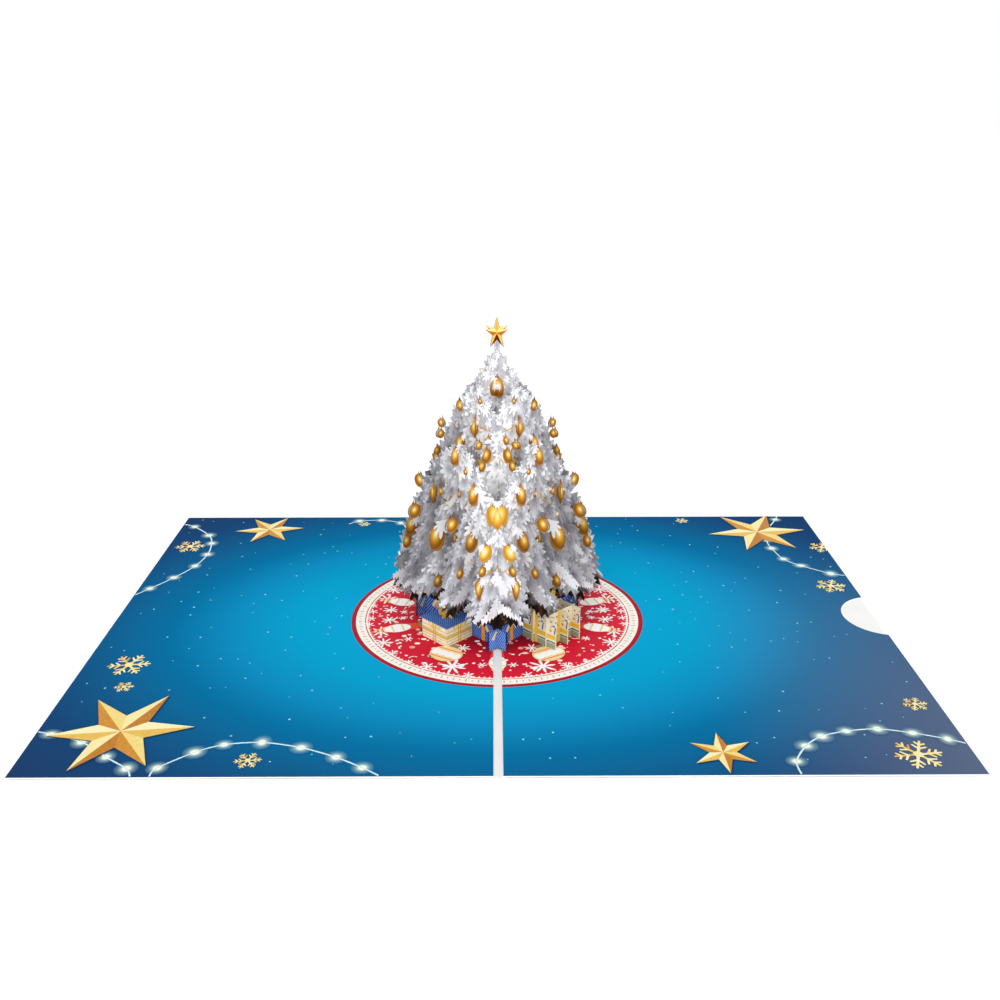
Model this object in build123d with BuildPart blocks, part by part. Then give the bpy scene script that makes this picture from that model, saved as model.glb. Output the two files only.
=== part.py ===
"""Pop-up card, lying open: a folded cover, two printed liners and a sliced paper tree.

Lengths are in millimetres. The origin is at the middle of the cover's underside, +X runs
to the panel with the thumb notch, +Y to the back edge and +Z up out of the open card.
"""

from build123d import *
from math import dist, hypot, sqrt
import os

os.makedirs("parts", exist_ok=True)

# Card, open flat
panel_width = 127.0
card_depth = 177.8
cover_sheet = 0.4
score_width = 0.8
score_depth = 0.15
liner_sheet = 0.35
spine_gap = 2.6
notch_radius = 14.0
notch_setback = 3.3

# Tape that holds each liner to the cover, left out along the pocket's mouth
tape_sheet = 0.4
tape_width = 5.0
tape_margin = 1.5

# Note card in the pocket under the right liner
note_sheet = 0.3
note_clearance = 0.4
note_inset = 0.8

# Pop-up sheets and how they lock together
pop_sheet = 0.3
slot_clearance = 0.1
tab_width = 3.5
seat_gap = 0.2

# Tree, with heights above the liners
tree_shift = 3.0
tree_height = 90.5
tree_radius = 34.6
waist_height = 18.0
undercut_share = 0.45
taper_share = 0.76
row_pitch = 12.0
row_steps = (-2, -1, 0, 1, 2)
foot_setback = 0.75
hem_clearance = 0.5
middle_hem = 13.0
outer_hem = 11.0
tab_bay_shares = (1.65, 1.65, 1.41)

# Die-cut fir edge: one branch, as shares of its pitch along and of its depth out
leaf_pitch = 8.5
leaf_depth = 2.1
leaf_shares = (
    ((0.0, -0.9), (0.16, 0.45), (0.30, -0.2), (0.46, 1.0), (0.60, 0.1), (0.74, 0.7), (0.88, -0.3)),
    ((0.0, -0.8), (0.14, 0.7), (0.27, 0.0), (0.42, 0.9), (0.58, -0.1), (0.72, 0.4), (0.86, -0.35)),
)
leaf_root_share = 0.4
edge_samples = 40

# Baubles that hang from the branch tip nearest to a height
upper_bauble_radius = 1.4
upper_bauble_height = 64.0
lower_bauble_radius = 2.3
lower_bauble_height = 45.5
bauble_seat_share = 0.8

# Star on the two centre slices
star_points = 5
star_radius = 4.95
star_waist_share = 0.4
star_centre_height = 95.7
star_stem = 2.2

# Gifts round the tree's foot, on their own finer grid
gift_pitch = 8.0
corner_gift_height = 7.0
corner_gift_wing = 4.2
corner_neck = 2.0
box_wall_height = 6.7
lid_overhang = 0.4
crate_height = 11.0
crate_end = 1.0
crate_fin = 3.4
bow_height = 4.5
bow_half_width = 3.8
bow_base_height = 0.8
bow_base_share = 0.6
bow_knot_share = 0.35
bow_shares = (
    (0.18, 0.0), (0.22, 0.28), (0.48, 0.2), (0.92, 0.42), (1.0, 0.8), (0.64, 1.0), (0.28, 0.66), (0.0, 0.52)
)

# Worked out from the sizes above
liner_base = cover_sheet + tape_sheet
card_top = liner_base + liner_sheet
slot_width = pop_sheet + slot_clearance
bay = row_pitch / sqrt(2)
gift_bay = gift_pitch / sqrt(2)
last_row = max(row_steps)
outer_line = last_row * bay
centre_hem = crate_height + bow_height + leaf_depth + hem_clearance
gift_seat = -outer_line - pop_sheet / 2 - seat_gap
crate_a_lines = (-outer_line - gift_bay, -outer_line - 2 * gift_bay)
crate_b_lines = (-gift_bay, 0, gift_bay)
crate_a_tab = gift_bay / 2
crate_b_tab = -outer_line - gift_bay / 2
box_front = -outer_line - 2 * gift_bay
box_middle = -outer_line - gift_bay
box_lid_base = card_top + box_wall_height


def grid_plane(height):
    """Horizontal plane on the pop-up's centre, turned so that its axes follow the slices."""
    return Plane(origin=(0, tree_shift, height), x_dir=(1, 1, 0), z_dir=(0, 0, 1))


def slice_plane(family, line):
    """Upright plane of one slice: family a runs along the grid's X, family b along its Y.

    A sketch on it has the way along the slice as its X and the height as its Y.
    """
    place = (0, line) if family == "a" else (line, 0)
    origin = grid_plane(0).from_local_coords(Vector(*place, 0))
    along = (1, 1, 0) if family == "a" else (-1, 1, 0)
    facing = (1, -1, 0) if family == "a" else (1, 1, 0)
    return Plane(origin=origin, x_dir=along, z_dir=facing)


# Tree slices


def tree_reach(height):
    """Radius of the tree's outline at a height above the liners: it draws in below the waist."""
    share = (tree_height - height) / (tree_height - waist_height)
    undercut = undercut_share * max(waist_height - height, 0)
    return tree_radius * min(max(share, 0), 1) ** taper_share - undercut


def tree_top(radius):
    """Height of the tree's outline above a point at this radius."""
    share = radius / tree_radius
    return tree_height - (tree_height - waist_height) * share ** (1 / taper_share)


def edge_reach(height, line):
    """Half the length of a slice whose plane passes the tree's axis at this distance."""
    return sqrt(max(tree_reach(height) ** 2 - line**2, 0))


def plain_edge(line, start, hem):
    """Smooth path of one side: out along the hem from the foot, then up to the top."""
    rise = tree_top(abs(line)) - hem
    heights = [hem + rise * i / edge_samples for i in range(edge_samples + 1)]
    return [(start, hem)] + [(edge_reach(height, line), height) for height in heights]


def walk(path, distance):
    """Point that lies this far along a path."""
    for (x, z), (next_x, next_z) in zip(path, path[1:]):
        step = hypot(next_x - x, next_z - z)
        if distance <= step:
            share = distance / step
            return x + (next_x - x) * share, z + (next_z - z) * share
        distance -= step
    return path[-1]


def leafy_edge(line, start, hem, first):
    """The same path with pointed fir lobes, from the foot to the top.

    Gives the outline's points and, for each branch, its longest lobe's tip with the way out.
    """
    path = plain_edge(line, start, hem)
    length = sum(dist(here, there) for here, there in zip(path, path[1:]))
    branches = round(length / leaf_pitch)
    points, tips = [], []
    for branch in range(branches):
        shape = leaf_shares[(branch + first) % len(leaf_shares)]
        longest = max(out for along, out in shape)
        for along, out in shape:
            distance = (branch + along) * length / branches
            x, z = walk(path, distance)
            ahead_x, ahead_z = walk(path, distance + leaf_depth)
            behind_x, behind_z = walk(path, max(distance - leaf_depth, 0))
            chord = hypot(ahead_x - behind_x, ahead_z - behind_z)
            way = ((ahead_z - behind_z) / chord, (behind_x - ahead_x) / chord)
            depth = out * min(leaf_depth, leaf_root_share * x)
            points.append((x + depth * way[0], card_top + z + depth * way[1]))
            if out == longest:
                tips.append((points[-1], way))
    return points, tips


def hang_bauble(side, tips, height, radius):
    """Adds a bauble past one edge of the slice being drawn, seated on a branch's tip."""
    (x, z), way = min(tips, key=lambda tip: abs(tip[0][1] - card_top - height))
    reach = radius * bauble_seat_share
    with Locations((side * (x + reach * way[0]), z + reach * way[1])):
        Circle(radius)


def top_star():
    """Adds the star and the stem that it stands on to the slice being drawn."""
    centre = card_top + star_centre_height
    radii = (star_radius, star_radius * star_waist_share) * star_points
    half_turn = 180 / star_points
    ring = [Vector(0, radius).rotate(Axis.Z, half_turn * turn) for turn, radius in enumerate(radii)]
    Polygon(*[(point.X, centre + point.Y) for point in ring], align=None)
    with Locations((0, centre)):
        Rectangle(star_stem, 2 * star_radius, align=(Align.CENTER, Align.MAX))


def cut_slot(family, place, mid_height):
    """Cuts one slot of the sheet being drawn: family a from below, family b from above."""
    if family == "a":
        with Locations((place, card_top + mid_height + slot_clearance / 2)):
            Rectangle(slot_width, tree_height, align=(Align.CENTER, Align.MAX), mode=Mode.SUBTRACT)
    else:
        with Locations((place, card_top + mid_height - slot_clearance / 2)):
            Rectangle(slot_width, 2 * tree_height, align=(Align.CENTER, Align.MIN), mode=Mode.SUBTRACT)


def add_tab(place):
    """Adds a tab that drops through the liner to the sheet being drawn."""
    with Locations((place, card_top)):
        Rectangle(tab_width, liner_sheet, align=(Align.CENTER, Align.MAX))


def tree_slice(family, step):
    """One slice of the tree, with its feet, tabs, fir edges, baubles and half-height slots."""
    line = step * bay
    ring = abs(step)
    is_outer = ring == last_row
    hem = outer_hem if is_outer else middle_hem if ring else centre_hem
    foot = outer_line + corner_neck if is_outer else outer_line - foot_setback
    right, right_tips = leafy_edge(line, foot, hem, first=ring)
    left, left_tips = leafy_edge(line, foot, hem, first=ring + 1)
    outline_points = [(foot, card_top), *right]
    outline_points += [(-along, height) for along, height in reversed([(foot, card_top), *left])]
    tab_place = tab_bay_shares[ring] * bay
    with BuildSketch(slice_plane(family, line)) as outline:
        with BuildLine():
            Polyline(*outline_points, close=True)
        make_face()
        if is_outer:
            with Locations((0, card_top)):
                Rectangle(
                    2 * (outer_line + corner_gift_wing),
                    corner_gift_height,
                    align=(Align.CENTER, Align.MIN),
                )
        elif ring:
            for side, tips in ((1, right_tips), (-1, left_tips)):
                hang_bauble(side, tips, upper_bauble_height, upper_bauble_radius)
                hang_bauble(side, tips, lower_bauble_height, lower_bauble_radius)
        else:
            top_star()
        add_tab(-tab_place)
        add_tab(tab_place)
        for other in row_steps:
            cut_slot(family, other * bay, tree_top(hypot(line, other * bay)) / 2)
    # The slots part a few leaf tips from the sheet, and those fall away as waste
    whole_sheet = outline.sketch.faces().sort_by(SortBy.AREA)[-1]
    with BuildPart() as sheet:
        extrude(whole_sheet, amount=pop_sheet / 2, both=True)
    return sheet.part


# Gifts


def bow_loops(place, base):
    """Adds a bow of two pointed loops and a knot to the sheet being drawn."""
    right = [(across * bow_half_width, base + up * bow_height) for across, up in bow_shares]
    ring = right + [(-across, height) for across, height in reversed(right[:-1])]
    Polygon(*[(place + across, height) for across, height in ring], align=None)


def crate_slice(family, line):
    """One wall of the open gift, which is a small grid of slotted sheets."""
    if family == "a":
        low, high = crate_b_lines[0] - crate_end, crate_b_lines[-1] + crate_end
        crossings, bow_line, bow_place, tab_place = crate_b_lines, crate_a_lines[0], 0, crate_a_tab
    else:
        low, high = crate_a_lines[-1] - crate_fin, gift_seat
        crossings, bow_line, bow_place, tab_place = crate_a_lines, 0, crate_a_lines[0], crate_b_tab
    with BuildPart() as sheet:
        with BuildSketch(slice_plane(family, line)):
            with Locations(((low + high) / 2, card_top)):
                Rectangle(high - low, crate_height, align=(Align.CENTER, Align.MIN))
            if line == bow_line:
                bow_loops(bow_place, card_top + crate_height)
            add_tab(tab_place)
            for place in crossings:
                cut_slot(family, place, crate_height / 2)
        extrude(amount=pop_sheet / 2, both=True)
    return sheet.part


def box_walls():
    """Three walls of the lidded gift, folded from one strip; a tree slice closes the fourth side."""
    with BuildPart() as walls:
        with BuildSketch(grid_plane(card_top)):
            with Locations((box_middle, 0)):
                Rectangle(2 * gift_bay + pop_sheet, 2 * gift_bay + pop_sheet)
                Rectangle(2 * gift_bay - pop_sheet, 2 * gift_bay - pop_sheet, mode=Mode.SUBTRACT)
            with Locations((gift_seat, 0)):
                Rectangle(gift_bay, 4 * gift_bay, align=(Align.MIN, Align.CENTER), mode=Mode.SUBTRACT)
        extrude(amount=box_wall_height)
        with BuildSketch(grid_plane(card_top)):
            with Locations((box_front, 0)):
                Rectangle(pop_sheet, tab_width)
            with Locations((box_middle, -gift_bay), (box_middle, gift_bay)):
                Rectangle(tab_width, pop_sheet)
        extrude(amount=-liner_sheet)
    return walls.part


def box_lid():
    """Flat lid that rests on the walls and stops short of the tree slice behind it."""
    low = box_front - pop_sheet / 2 - lid_overhang
    with BuildPart() as lid:
        with BuildSketch(grid_plane(box_lid_base)):
            with Locations((low, 0)):
                Rectangle(
                    gift_seat - low,
                    2 * gift_bay + pop_sheet + 2 * lid_overhang,
                    align=(Align.MIN, Align.CENTER),
                )
        extrude(amount=pop_sheet)
    return lid.part


def box_bow(family):
    """One of the two crossing halves of the bow that stands on the lid."""
    line, place = (0, box_middle) if family == "a" else (box_middle, 0)
    base = box_lid_base + pop_sheet
    with BuildPart() as bow:
        with BuildSketch(slice_plane(family, line)):
            bow_loops(place, base)
            with Locations((place, base)):
                Rectangle(
                    2 * bow_half_width * bow_base_share,
                    bow_base_height,
                    align=(Align.CENTER, Align.MIN),
                )
            cut_slot(family, place, box_wall_height + pop_sheet + bow_height * bow_knot_share)
        extrude(amount=pop_sheet / 2, both=True)
    return bow.part


# Card


def all_tabs():
    """Family, line and place along it of every tab that goes through a liner."""
    tabs = []
    for family in ("a", "b"):
        for step in row_steps:
            reach = tab_bay_shares[abs(step)] * bay
            tabs += [(family, step * bay, -reach), (family, step * bay, reach)]
    tabs += [("a", line, crate_a_tab) for line in crate_a_lines]
    tabs += [("b", line, crate_b_tab) for line in crate_b_lines]
    tabs += [("b", box_front, 0), ("a", -gift_bay, box_middle), ("a", gift_bay, box_middle)]
    return tabs


def cover_sheet_part():
    """Outer sheet of the card, with the score that it folds on pressed into its underside."""
    with BuildPart() as cover:
        with BuildSketch():
            Rectangle(2 * panel_width, card_depth)
        extrude(amount=cover_sheet)
        with BuildSketch(Plane.XZ.offset(-card_depth / 2)):
            with BuildLine():
                Polyline(
                    (-score_width / 2, 0),
                    (0, score_depth),
                    (score_width / 2, 0),
                    close=True,
                )
            make_face()
        extrude(amount=card_depth, mode=Mode.SUBTRACT)
    return cover.part


def liner(side):
    """Printed liner of one panel, slit for the tabs; the right one has the thumb notch."""
    inner = spine_gap / 2
    with BuildPart() as sheet:
        with BuildSketch(Plane.XY.offset(liner_base)):
            with Locations((side * (inner + panel_width) / 2, 0)):
                Rectangle(panel_width - inner, card_depth)
            if side > 0:
                with Locations((panel_width + notch_setback, 0)):
                    Circle(notch_radius, mode=Mode.SUBTRACT)
            for family, line, place in all_tabs():
                where = (place, line) if family == "a" else (line, place)
                middle = grid_plane(liner_base).from_local_coords(Vector(*where, 0))
                if middle.X * side > 0:
                    with Locations((middle.X, middle.Y)):
                        Rectangle(
                            tab_width + slot_clearance,
                            slot_width,
                            rotation=45 if family == "a" else -45,
                            mode=Mode.SUBTRACT,
                        )
        extrude(amount=liner_sheet)
    return sheet.part


def tape_strip(centre, size):
    """One strip of double-sided tape between the cover and a liner."""
    with BuildPart() as strip:
        with BuildSketch(Plane.XY.offset(cover_sheet)):
            with Locations(centre):
                Rectangle(*size)
        extrude(amount=tape_sheet)
    return strip.part


def tape_strips():
    """All strips by name; the right panel has none at its outer edge, the pocket's mouth."""
    inner = spine_gap / 2 + tape_margin
    outer = panel_width - tape_margin
    edge = card_depth / 2 - tape_margin - tape_width / 2
    long_strip = (tape_width, card_depth - 2 * tape_margin - 2 * tape_width)
    strips = {}
    for name, side in (("left", -1), ("right", 1)):
        cross_strip = (outer - inner, tape_width)
        strips[name + "_tape_spine"] = tape_strip((side * (inner + tape_width / 2), 0), long_strip)
        strips[name + "_tape_front"] = tape_strip((side * (inner + outer) / 2, -edge), cross_strip)
        strips[name + "_tape_back"] = tape_strip((side * (inner + outer) / 2, edge), cross_strip)
    strips["left_tape_outer"] = tape_strip((-outer + tape_width / 2, 0), long_strip)
    return strips


def note_card():
    """Plain card that slides out of the pocket under the right liner."""
    start = spine_gap / 2 + tape_margin + tape_width + note_clearance
    depth = card_depth - 2 * (tape_margin + tape_width + note_clearance)
    with BuildPart() as note:
        with BuildSketch(Plane.XY.offset(cover_sheet + (tape_sheet - note_sheet) / 2)):
            with Locations((start, 0)):
                Rectangle(panel_width - note_inset - start, depth, align=(Align.MIN, Align.CENTER))
        extrude(amount=note_sheet)
    return note.part


pieces = {
    "cover": cover_sheet_part(),
    "left_liner": liner(-1),
    "right_liner": liner(1),
    "note_card": note_card(),
    "gift_box_walls": box_walls(),
    "gift_box_lid": box_lid(),
    "gift_box_bow_a": box_bow("a"),
    "gift_box_bow_b": box_bow("b"),
}
pieces.update(tape_strips())
for family in ("a", "b"):
    for number, step in enumerate(row_steps, start=1):
        pieces[f"tree_slice_{family}{number}"] = tree_slice(family, step)
for number, line in enumerate(crate_a_lines, start=1):
    pieces[f"gift_crate_a{number}"] = crate_slice("a", line)
for number, line in enumerate(crate_b_lines, start=1):
    pieces[f"gift_crate_b{number}"] = crate_slice("b", line)

for name, piece in pieces.items():
    piece.label = name
    export_step(piece, f"parts/{name}.step")
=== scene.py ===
"""A pop-up greeting card with a sliced paper fir tree: its looks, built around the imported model."""

import math
import random
from collections import namedtuple

import bmesh
import bpy
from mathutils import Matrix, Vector


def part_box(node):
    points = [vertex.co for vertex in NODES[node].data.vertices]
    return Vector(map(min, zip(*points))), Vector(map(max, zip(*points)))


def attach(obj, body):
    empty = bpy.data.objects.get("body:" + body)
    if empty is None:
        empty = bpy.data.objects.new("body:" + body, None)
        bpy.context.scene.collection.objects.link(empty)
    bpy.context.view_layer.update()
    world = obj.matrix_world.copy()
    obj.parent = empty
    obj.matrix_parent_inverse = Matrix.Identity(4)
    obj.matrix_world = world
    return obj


bl_info = {
    "name": "Pop-up card",
    "version": (1, 0, 0),
    "blender": (4, 5, 0),
    "location": "View3D > Sidebar > Card",
    "description": "Prints and dresses a pop-up card with a paper fir tree, and sets its stage",
    "category": "Object",
}

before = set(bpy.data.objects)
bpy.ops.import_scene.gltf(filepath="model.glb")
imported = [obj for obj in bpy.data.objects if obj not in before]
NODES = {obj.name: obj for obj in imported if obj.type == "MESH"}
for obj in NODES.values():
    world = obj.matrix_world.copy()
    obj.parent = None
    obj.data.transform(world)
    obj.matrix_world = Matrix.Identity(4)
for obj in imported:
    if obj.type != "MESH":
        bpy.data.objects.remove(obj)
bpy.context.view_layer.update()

MM = 0.001
UP = Vector((0, 0, 1))
DIAGONAL = math.sqrt(0.5)
# In millimetres, read from the model: the liners' top face, their edges, and the tree's middle.
CARD_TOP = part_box("left_liner")[1].z / MM
PANEL_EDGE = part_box("right_liner")[1].x / MM
FRONT_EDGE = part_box("right_liner")[1].y / MM
SPINE_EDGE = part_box("right_liner")[0].x / MM
TREE_SHIFT = sum(corner.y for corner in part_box("tree_slice_a3")) / 2 / MM
# In millimetres: the distance between two slices of a row, and half of a slice's thickness.
BAY = 12 * DIAGONAL
HALF_SHEET = 0.15
ROWS = range(-2, 3)
# Both faces of both rows of slices: the row, the side and its name.
TREE_FACES = (("a", -1, "front"), ("a", 1, "back"), ("b", -1, "front"), ("b", 1, "back"))

# Printed ink lies this far off the paper, in millimetres, so that no two layers share a plane.
INK_STEP = 0.03


# Colours, materials and nodes.


def linear(colour, alpha=True):
    """An sRGB hex colour such as "#1896CD" as linear numbers."""
    shares = [int(colour[place : place + 2], 16) / 255 for place in (1, 3, 5)]
    mixed = [s / 12.92 if s <= 0.04045 else ((s + 0.055) / 1.055) ** 2.4 for s in shares]
    return (*mixed, 1.0) if alpha else tuple(mixed)


def put(tree, kind, inputs=(), stops=None, **settings):
    """Adds one node, which is a shader node unless its kind says otherwise.

    inputs holds values, outputs or whole nodes, by place or by name; stops a ramp's (place, hex) pairs.
    """
    made = tree.nodes.new(kind if "Node" in kind else "ShaderNode" + kind)
    for name, value in settings.items():
        setattr(made, name, value)
    for socket, value in inputs.items() if isinstance(inputs, dict) else enumerate(inputs):
        if isinstance(value, bpy.types.Node):
            value = next(output for output in value.outputs if output.enabled)
        if isinstance(value, bpy.types.NodeSocket):
            tree.links.new(value, made.inputs[socket])
        else:
            made.inputs[socket].default_value = value
    if stops:
        ramp = made.color_ramp
        while len(ramp.elements) < len(stops):
            ramp.elements.new(1.0)
        for element, (place, colour) in zip(ramp.elements, stops):
            element.position = place
            element.color = linear(colour)
    return made


def new_material(name, roughness, specular=0.08):
    """A material with one Principled shader; gives the material, its tree and the shader."""
    material = bpy.data.materials.new(name)
    material.use_nodes = True
    shader = material.node_tree.nodes["Principled BSDF"]
    shader.inputs["Roughness"].default_value = roughness
    shader.inputs["Specular IOR Level"].default_value = specular
    return material, material.node_tree, shader


def millimetres(tree):
    """Object coordinates in millimetres."""
    place = put(tree, "TexCoord").outputs["Object"]
    return put(tree, "Mapping", {"Vector": place, "Scale": (1000, 1000, 1000)})


def add_fibre(tree, shader, where, strength=0.25):
    """Paper's fibre as bump: flocks about 0.6 mm long, coarser than real ones so that they show."""
    flock = put(tree, "TexNoise", {"Vector": where, "Scale": 1.7, "Detail": 3.0})
    bump = put(tree, "Bump", {"Height": flock, "Strength": strength, "Distance": 0.00004})
    tree.links.new(bump.outputs[0], shader.inputs["Normal"])


def paper(name, roughness, scale, detail, stops, fibre=0.25, specular=0.4):
    """A plain paper or tape, mottled along its stops, with its fibre as bump."""
    material, tree, shader = new_material(name, roughness, specular)
    where = millimetres(tree)
    mottle = put(tree, "TexNoise", {"Vector": where, "Scale": scale, "Detail": detail})
    ramp = put(tree, "ValToRGB", (mottle,), stops)
    tree.links.new(ramp.outputs[0], shader.inputs["Base Color"])
    add_fibre(tree, shader, where, fibre)
    return material


def liner_ink(tree, where):
    """The liners' printed sky: bright round the tree, navy at the corners, greyer front right."""
    flat = put(tree, "VectorMath", (where, (1, 1.35, 0)), operation="MULTIPLY")
    reach = put(tree, "VectorMath", (flat,), operation="LENGTH")
    share = put(tree, "MapRange", (reach, 40, 180))
    stops = [
        (0.07, "#0FA8D8"),
        (0.19, "#0BA3D1"),
        (0.33, "#108FC3"),
        (0.41, "#0E80B2"),
        (0.48, "#0A71A3"),
        (0.56, "#116899"),
        (0.66, "#165989"),
        (0.79, "#1C4777"),
        (0.96, "#223F68"),
    ]
    sky = put(tree, "ValToRGB", (share,), stops)
    parts = put(tree, "SeparateXYZ", (where,)).outputs
    right = put(tree, "MapRange", (parts["X"], 56, 142), interpolation_type="SMOOTHSTEP")
    front = put(tree, "MapRange", (parts["Y"], 75, -95), interpolation_type="SMOOTHSTEP")
    haze = put(tree, "Math", (right, front), operation="MULTIPLY")
    strength = put(tree, "Math", (haze, 0.78), operation="MULTIPLY")
    return put(tree, "Mix", {"Factor": strength, "A": sky, "B": linear("#68768F")}, data_type="RGBA")


def dress(node, material):
    """Gives a node of the model one material."""
    node.data.materials.clear()
    node.data.materials.append(material)


def printed_liner():
    """Satin-coated liner paper: blue ink on its top face, bare white paper at the cut edges."""
    material, tree, shader = new_material("satin_printed_liner", 0.6, 0.0)
    where = millimetres(tree)
    facing = put(tree, "SeparateXYZ", (put(tree, "TexCoord").outputs["Normal"],)).outputs
    is_top = put(tree, "Math", (facing["Z"], 0.5), operation="GREATER_THAN")
    colours = {"Factor": is_top, "A": linear("#EFEFEC"), "B": liner_ink(tree, where)}
    mixed = put(tree, "Mix", colours, data_type="RGBA")
    tree.links.new(mixed.outputs["Result"], shader.inputs["Base Color"])
    add_fibre(tree, shader, where, 0.12)
    return material


def ink(name, stops, roughness=0.6, grain=0.12):
    """A printed ink on satin paper, shaded along its stops by the piece's tone attribute."""
    material, tree, shader = new_material(name, roughness)
    level = put(tree, "Attribute", attribute_name="tone").outputs["Fac"]
    speck = put(tree, "TexNoise", {"Vector": millimetres(tree), "Scale": 1.2, "Detail": 2.0})
    shifted = put(tree, "Math", (speck, -0.5), operation="ADD")
    summed = put(tree, "Math", (shifted, grain, level), operation="MULTIPLY_ADD")
    ramp = put(tree, "ValToRGB", (summed,), stops)
    tree.links.new(ramp.outputs[0], shader.inputs["Base Color"])
    return material


def from_middle(tree):
    """0 at a round mark's bright point and 1 at its rim, by the print's own map."""
    spot = put(tree, "UVMap", uv_map="print")
    centred = put(tree, "VectorMath", (spot, (0.5, 0.5, 0)), operation="SUBTRACT")
    reach = put(tree, "VectorMath", (centred,), operation="LENGTH")
    return put(tree, "Math", (reach, 2.0), operation="MULTIPLY")


def round_ink(name, stops, roughness=0.6):
    """A printed ink shaded from the bright point of each mark outwards."""
    material, tree, shader = new_material(name, roughness)
    ramp = put(tree, "ValToRGB", (from_middle(tree),), stops)
    tree.links.new(ramp.outputs[0], shader.inputs["Base Color"])
    return material


GOLD_STOPS = [(0.0, "#AE6418"), (0.25, "#D39432"), (0.5, "#E9BD56"), (0.75, "#F6DE88"), (1.0, "#FEF5C0")]
# From the bright point to the rim: glint, gold, brown shade, and a faint reflection of light near the rim.
BAUBLE_STOPS = [
    (0.0, "#FFF9D8"),
    (0.13, "#FBDD7C"),
    (0.32, "#DC9F34"),
    (0.54, "#AC701D"),
    (0.74, "#8A5415"),
    (0.9, "#BF8430"),
    (1.0, "#6B4110"),
]
# Three ornaments near the middle of the tree, of the kind bright, use these lighter stops, with the same
# faint reflection near the rim.
BRIGHT_STOPS = [
    (0.0, "#FFFDE6"),
    (0.2, "#FFEFA6"),
    (0.45, "#F0C04A"),
    (0.7, "#CF8A22"),
    (0.9, "#E0A63A"),
    (1.0, "#8A5210"),
]


# Sheets and printed films.

Sheet = namedtuple("Sheet", "origin across up out")


def on_card():
    """The liners' top face, in the frame's own X and Y."""
    return Sheet(Vector((0, 0, CARD_TOP)), Vector((1, 0, 0)), Vector((0, 1, 0)), UP)


def on_plane(family, line, side, half=HALF_SHEET):
    """One face of an upright sheet: a runs back to the right and b back to the left."""
    along_a, along_b = Vector((DIAGONAL, DIAGONAL, 0)), Vector((-DIAGONAL, DIAGONAL, 0))
    along, off = (along_a, along_b) if family == "a" else (along_b, along_a)
    origin = Vector((0, TREE_SHIFT, CARD_TOP)) + off * (line + side * half)
    return Sheet(origin, along, UP, off * side)


class Film:
    """Flat printed shapes, gathered into one piece that lies just off its sheets."""

    def __init__(self):
        self.corners, self.outlines, self.inks, self.spots, self.tones = [], [], [], [], []

    def lay(self, sheet, outline, layer=1, ink=0, tone=0.5, spot=None):
        """Lays one outline, in the sheet's millimetres, so that it faces out of the sheet."""
        if len(outline) < 3:
            return
        start = len(self.corners)
        lift = layer * INK_STEP
        self.corners += [
            (sheet.origin + sheet.across * u + sheet.up * v + sheet.out * lift) * MM for u, v in outline
        ]
        area = sum(u * y - x * v for (u, v), (x, y) in zip(outline, outline[1:] + outline[:1]))
        ring = list(range(start, len(self.corners)))
        if area * sheet.across.cross(sheet.up).dot(sheet.out) < 0:
            ring.reverse()
            outline = outline[::-1]
        self.outlines.append(ring)
        self.inks.append(ink)
        self.tones.append(tone)
        self.spots += [spot(u, v) if spot else (0.5, 0.5) for u, v in outline]

    def piece(self, name, inks, slot, body="card", thickness=0.02):
        """Makes the gathered shapes one closed piece that rides on a body."""
        mesh = bpy.data.meshes.new(name)
        mesh.from_pydata(self.corners, [], self.outlines)
        flat = [number for pair in self.spots for number in pair]
        mesh.uv_layers.new(name="print").data.foreach_set("uv", flat)
        mesh.attributes.new("tone", "FLOAT", "FACE").data.foreach_set("value", self.tones)
        mesh.polygons.foreach_set("material_index", self.inks)
        for material in inks:
            mesh.materials.append(material)
        piece = bpy.data.objects.new(name, mesh)
        bpy.context.scene.collection.objects.link(piece)
        body_of_ink = piece.modifiers.new("thickness", "SOLIDIFY")
        body_of_ink.thickness = thickness * MM
        body_of_ink.offset = -1
        return finish_piece(piece, body)


def finish_piece(piece, body):
    """Turns a piece's modifiers into a plain mesh, and lets it ride on a body."""
    evaluated = piece.evaluated_get(bpy.context.evaluated_depsgraph_get())
    finished = bpy.data.meshes.new_from_object(evaluated)
    piece.modifiers.clear()
    piece.data = finished
    finished.name = piece.name
    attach(piece, body)
    return piece


def circle(u, v, radius, sides=24, tall=1.0):
    """A round or oval outline."""
    turns = [2 * math.pi * side / sides for side in range(sides)]
    return [(u + radius * math.cos(t), v + radius * tall * math.sin(t)) for t in turns]


def radial(u, v, radius, shift=(0, 0), tall=1.0):
    """A map that is 0 at a round mark's bright point and 1 at its rim."""
    return lambda x, y: (
        0.5 + 0.5 * ((x - u) / radius - shift[0]) / (1 + math.hypot(*shift)),
        0.5 + 0.5 * ((y - v) / radius / tall - shift[1]) / (1 + math.hypot(*shift)),
    )


def bar(start, end, width, tip=None):
    """A straight stroke from one point to another, narrowing to tip."""
    way = Vector((end[0] - start[0], end[1] - start[1])).normalized()
    side = Vector((-way.y, way.x)) * width / 2
    far = side * ((width if tip is None else tip) / width)
    return [
        (start[0] + side.x, start[1] + side.y),
        (start[0] - side.x, start[1] - side.y),
        (end[0] - far.x, end[1] - far.y),
        (end[0] + far.x, end[1] + far.y),
    ]


def cut(outline, axis, limit, side):
    """The part of an outline on one side of a line."""
    kept = []
    for here, ahead in zip(outline, outline[1:] + outline[:1]):
        inside, next_inside = (here[axis] - limit) * side >= 0, (ahead[axis] - limit) * side >= 0
        if inside:
            kept.append(here)
        if inside != next_inside:
            share = (limit - here[axis]) / (ahead[axis] - here[axis])
            kept.append(tuple(a + (b - a) * share for a, b in zip(here, ahead)))
    return kept


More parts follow.
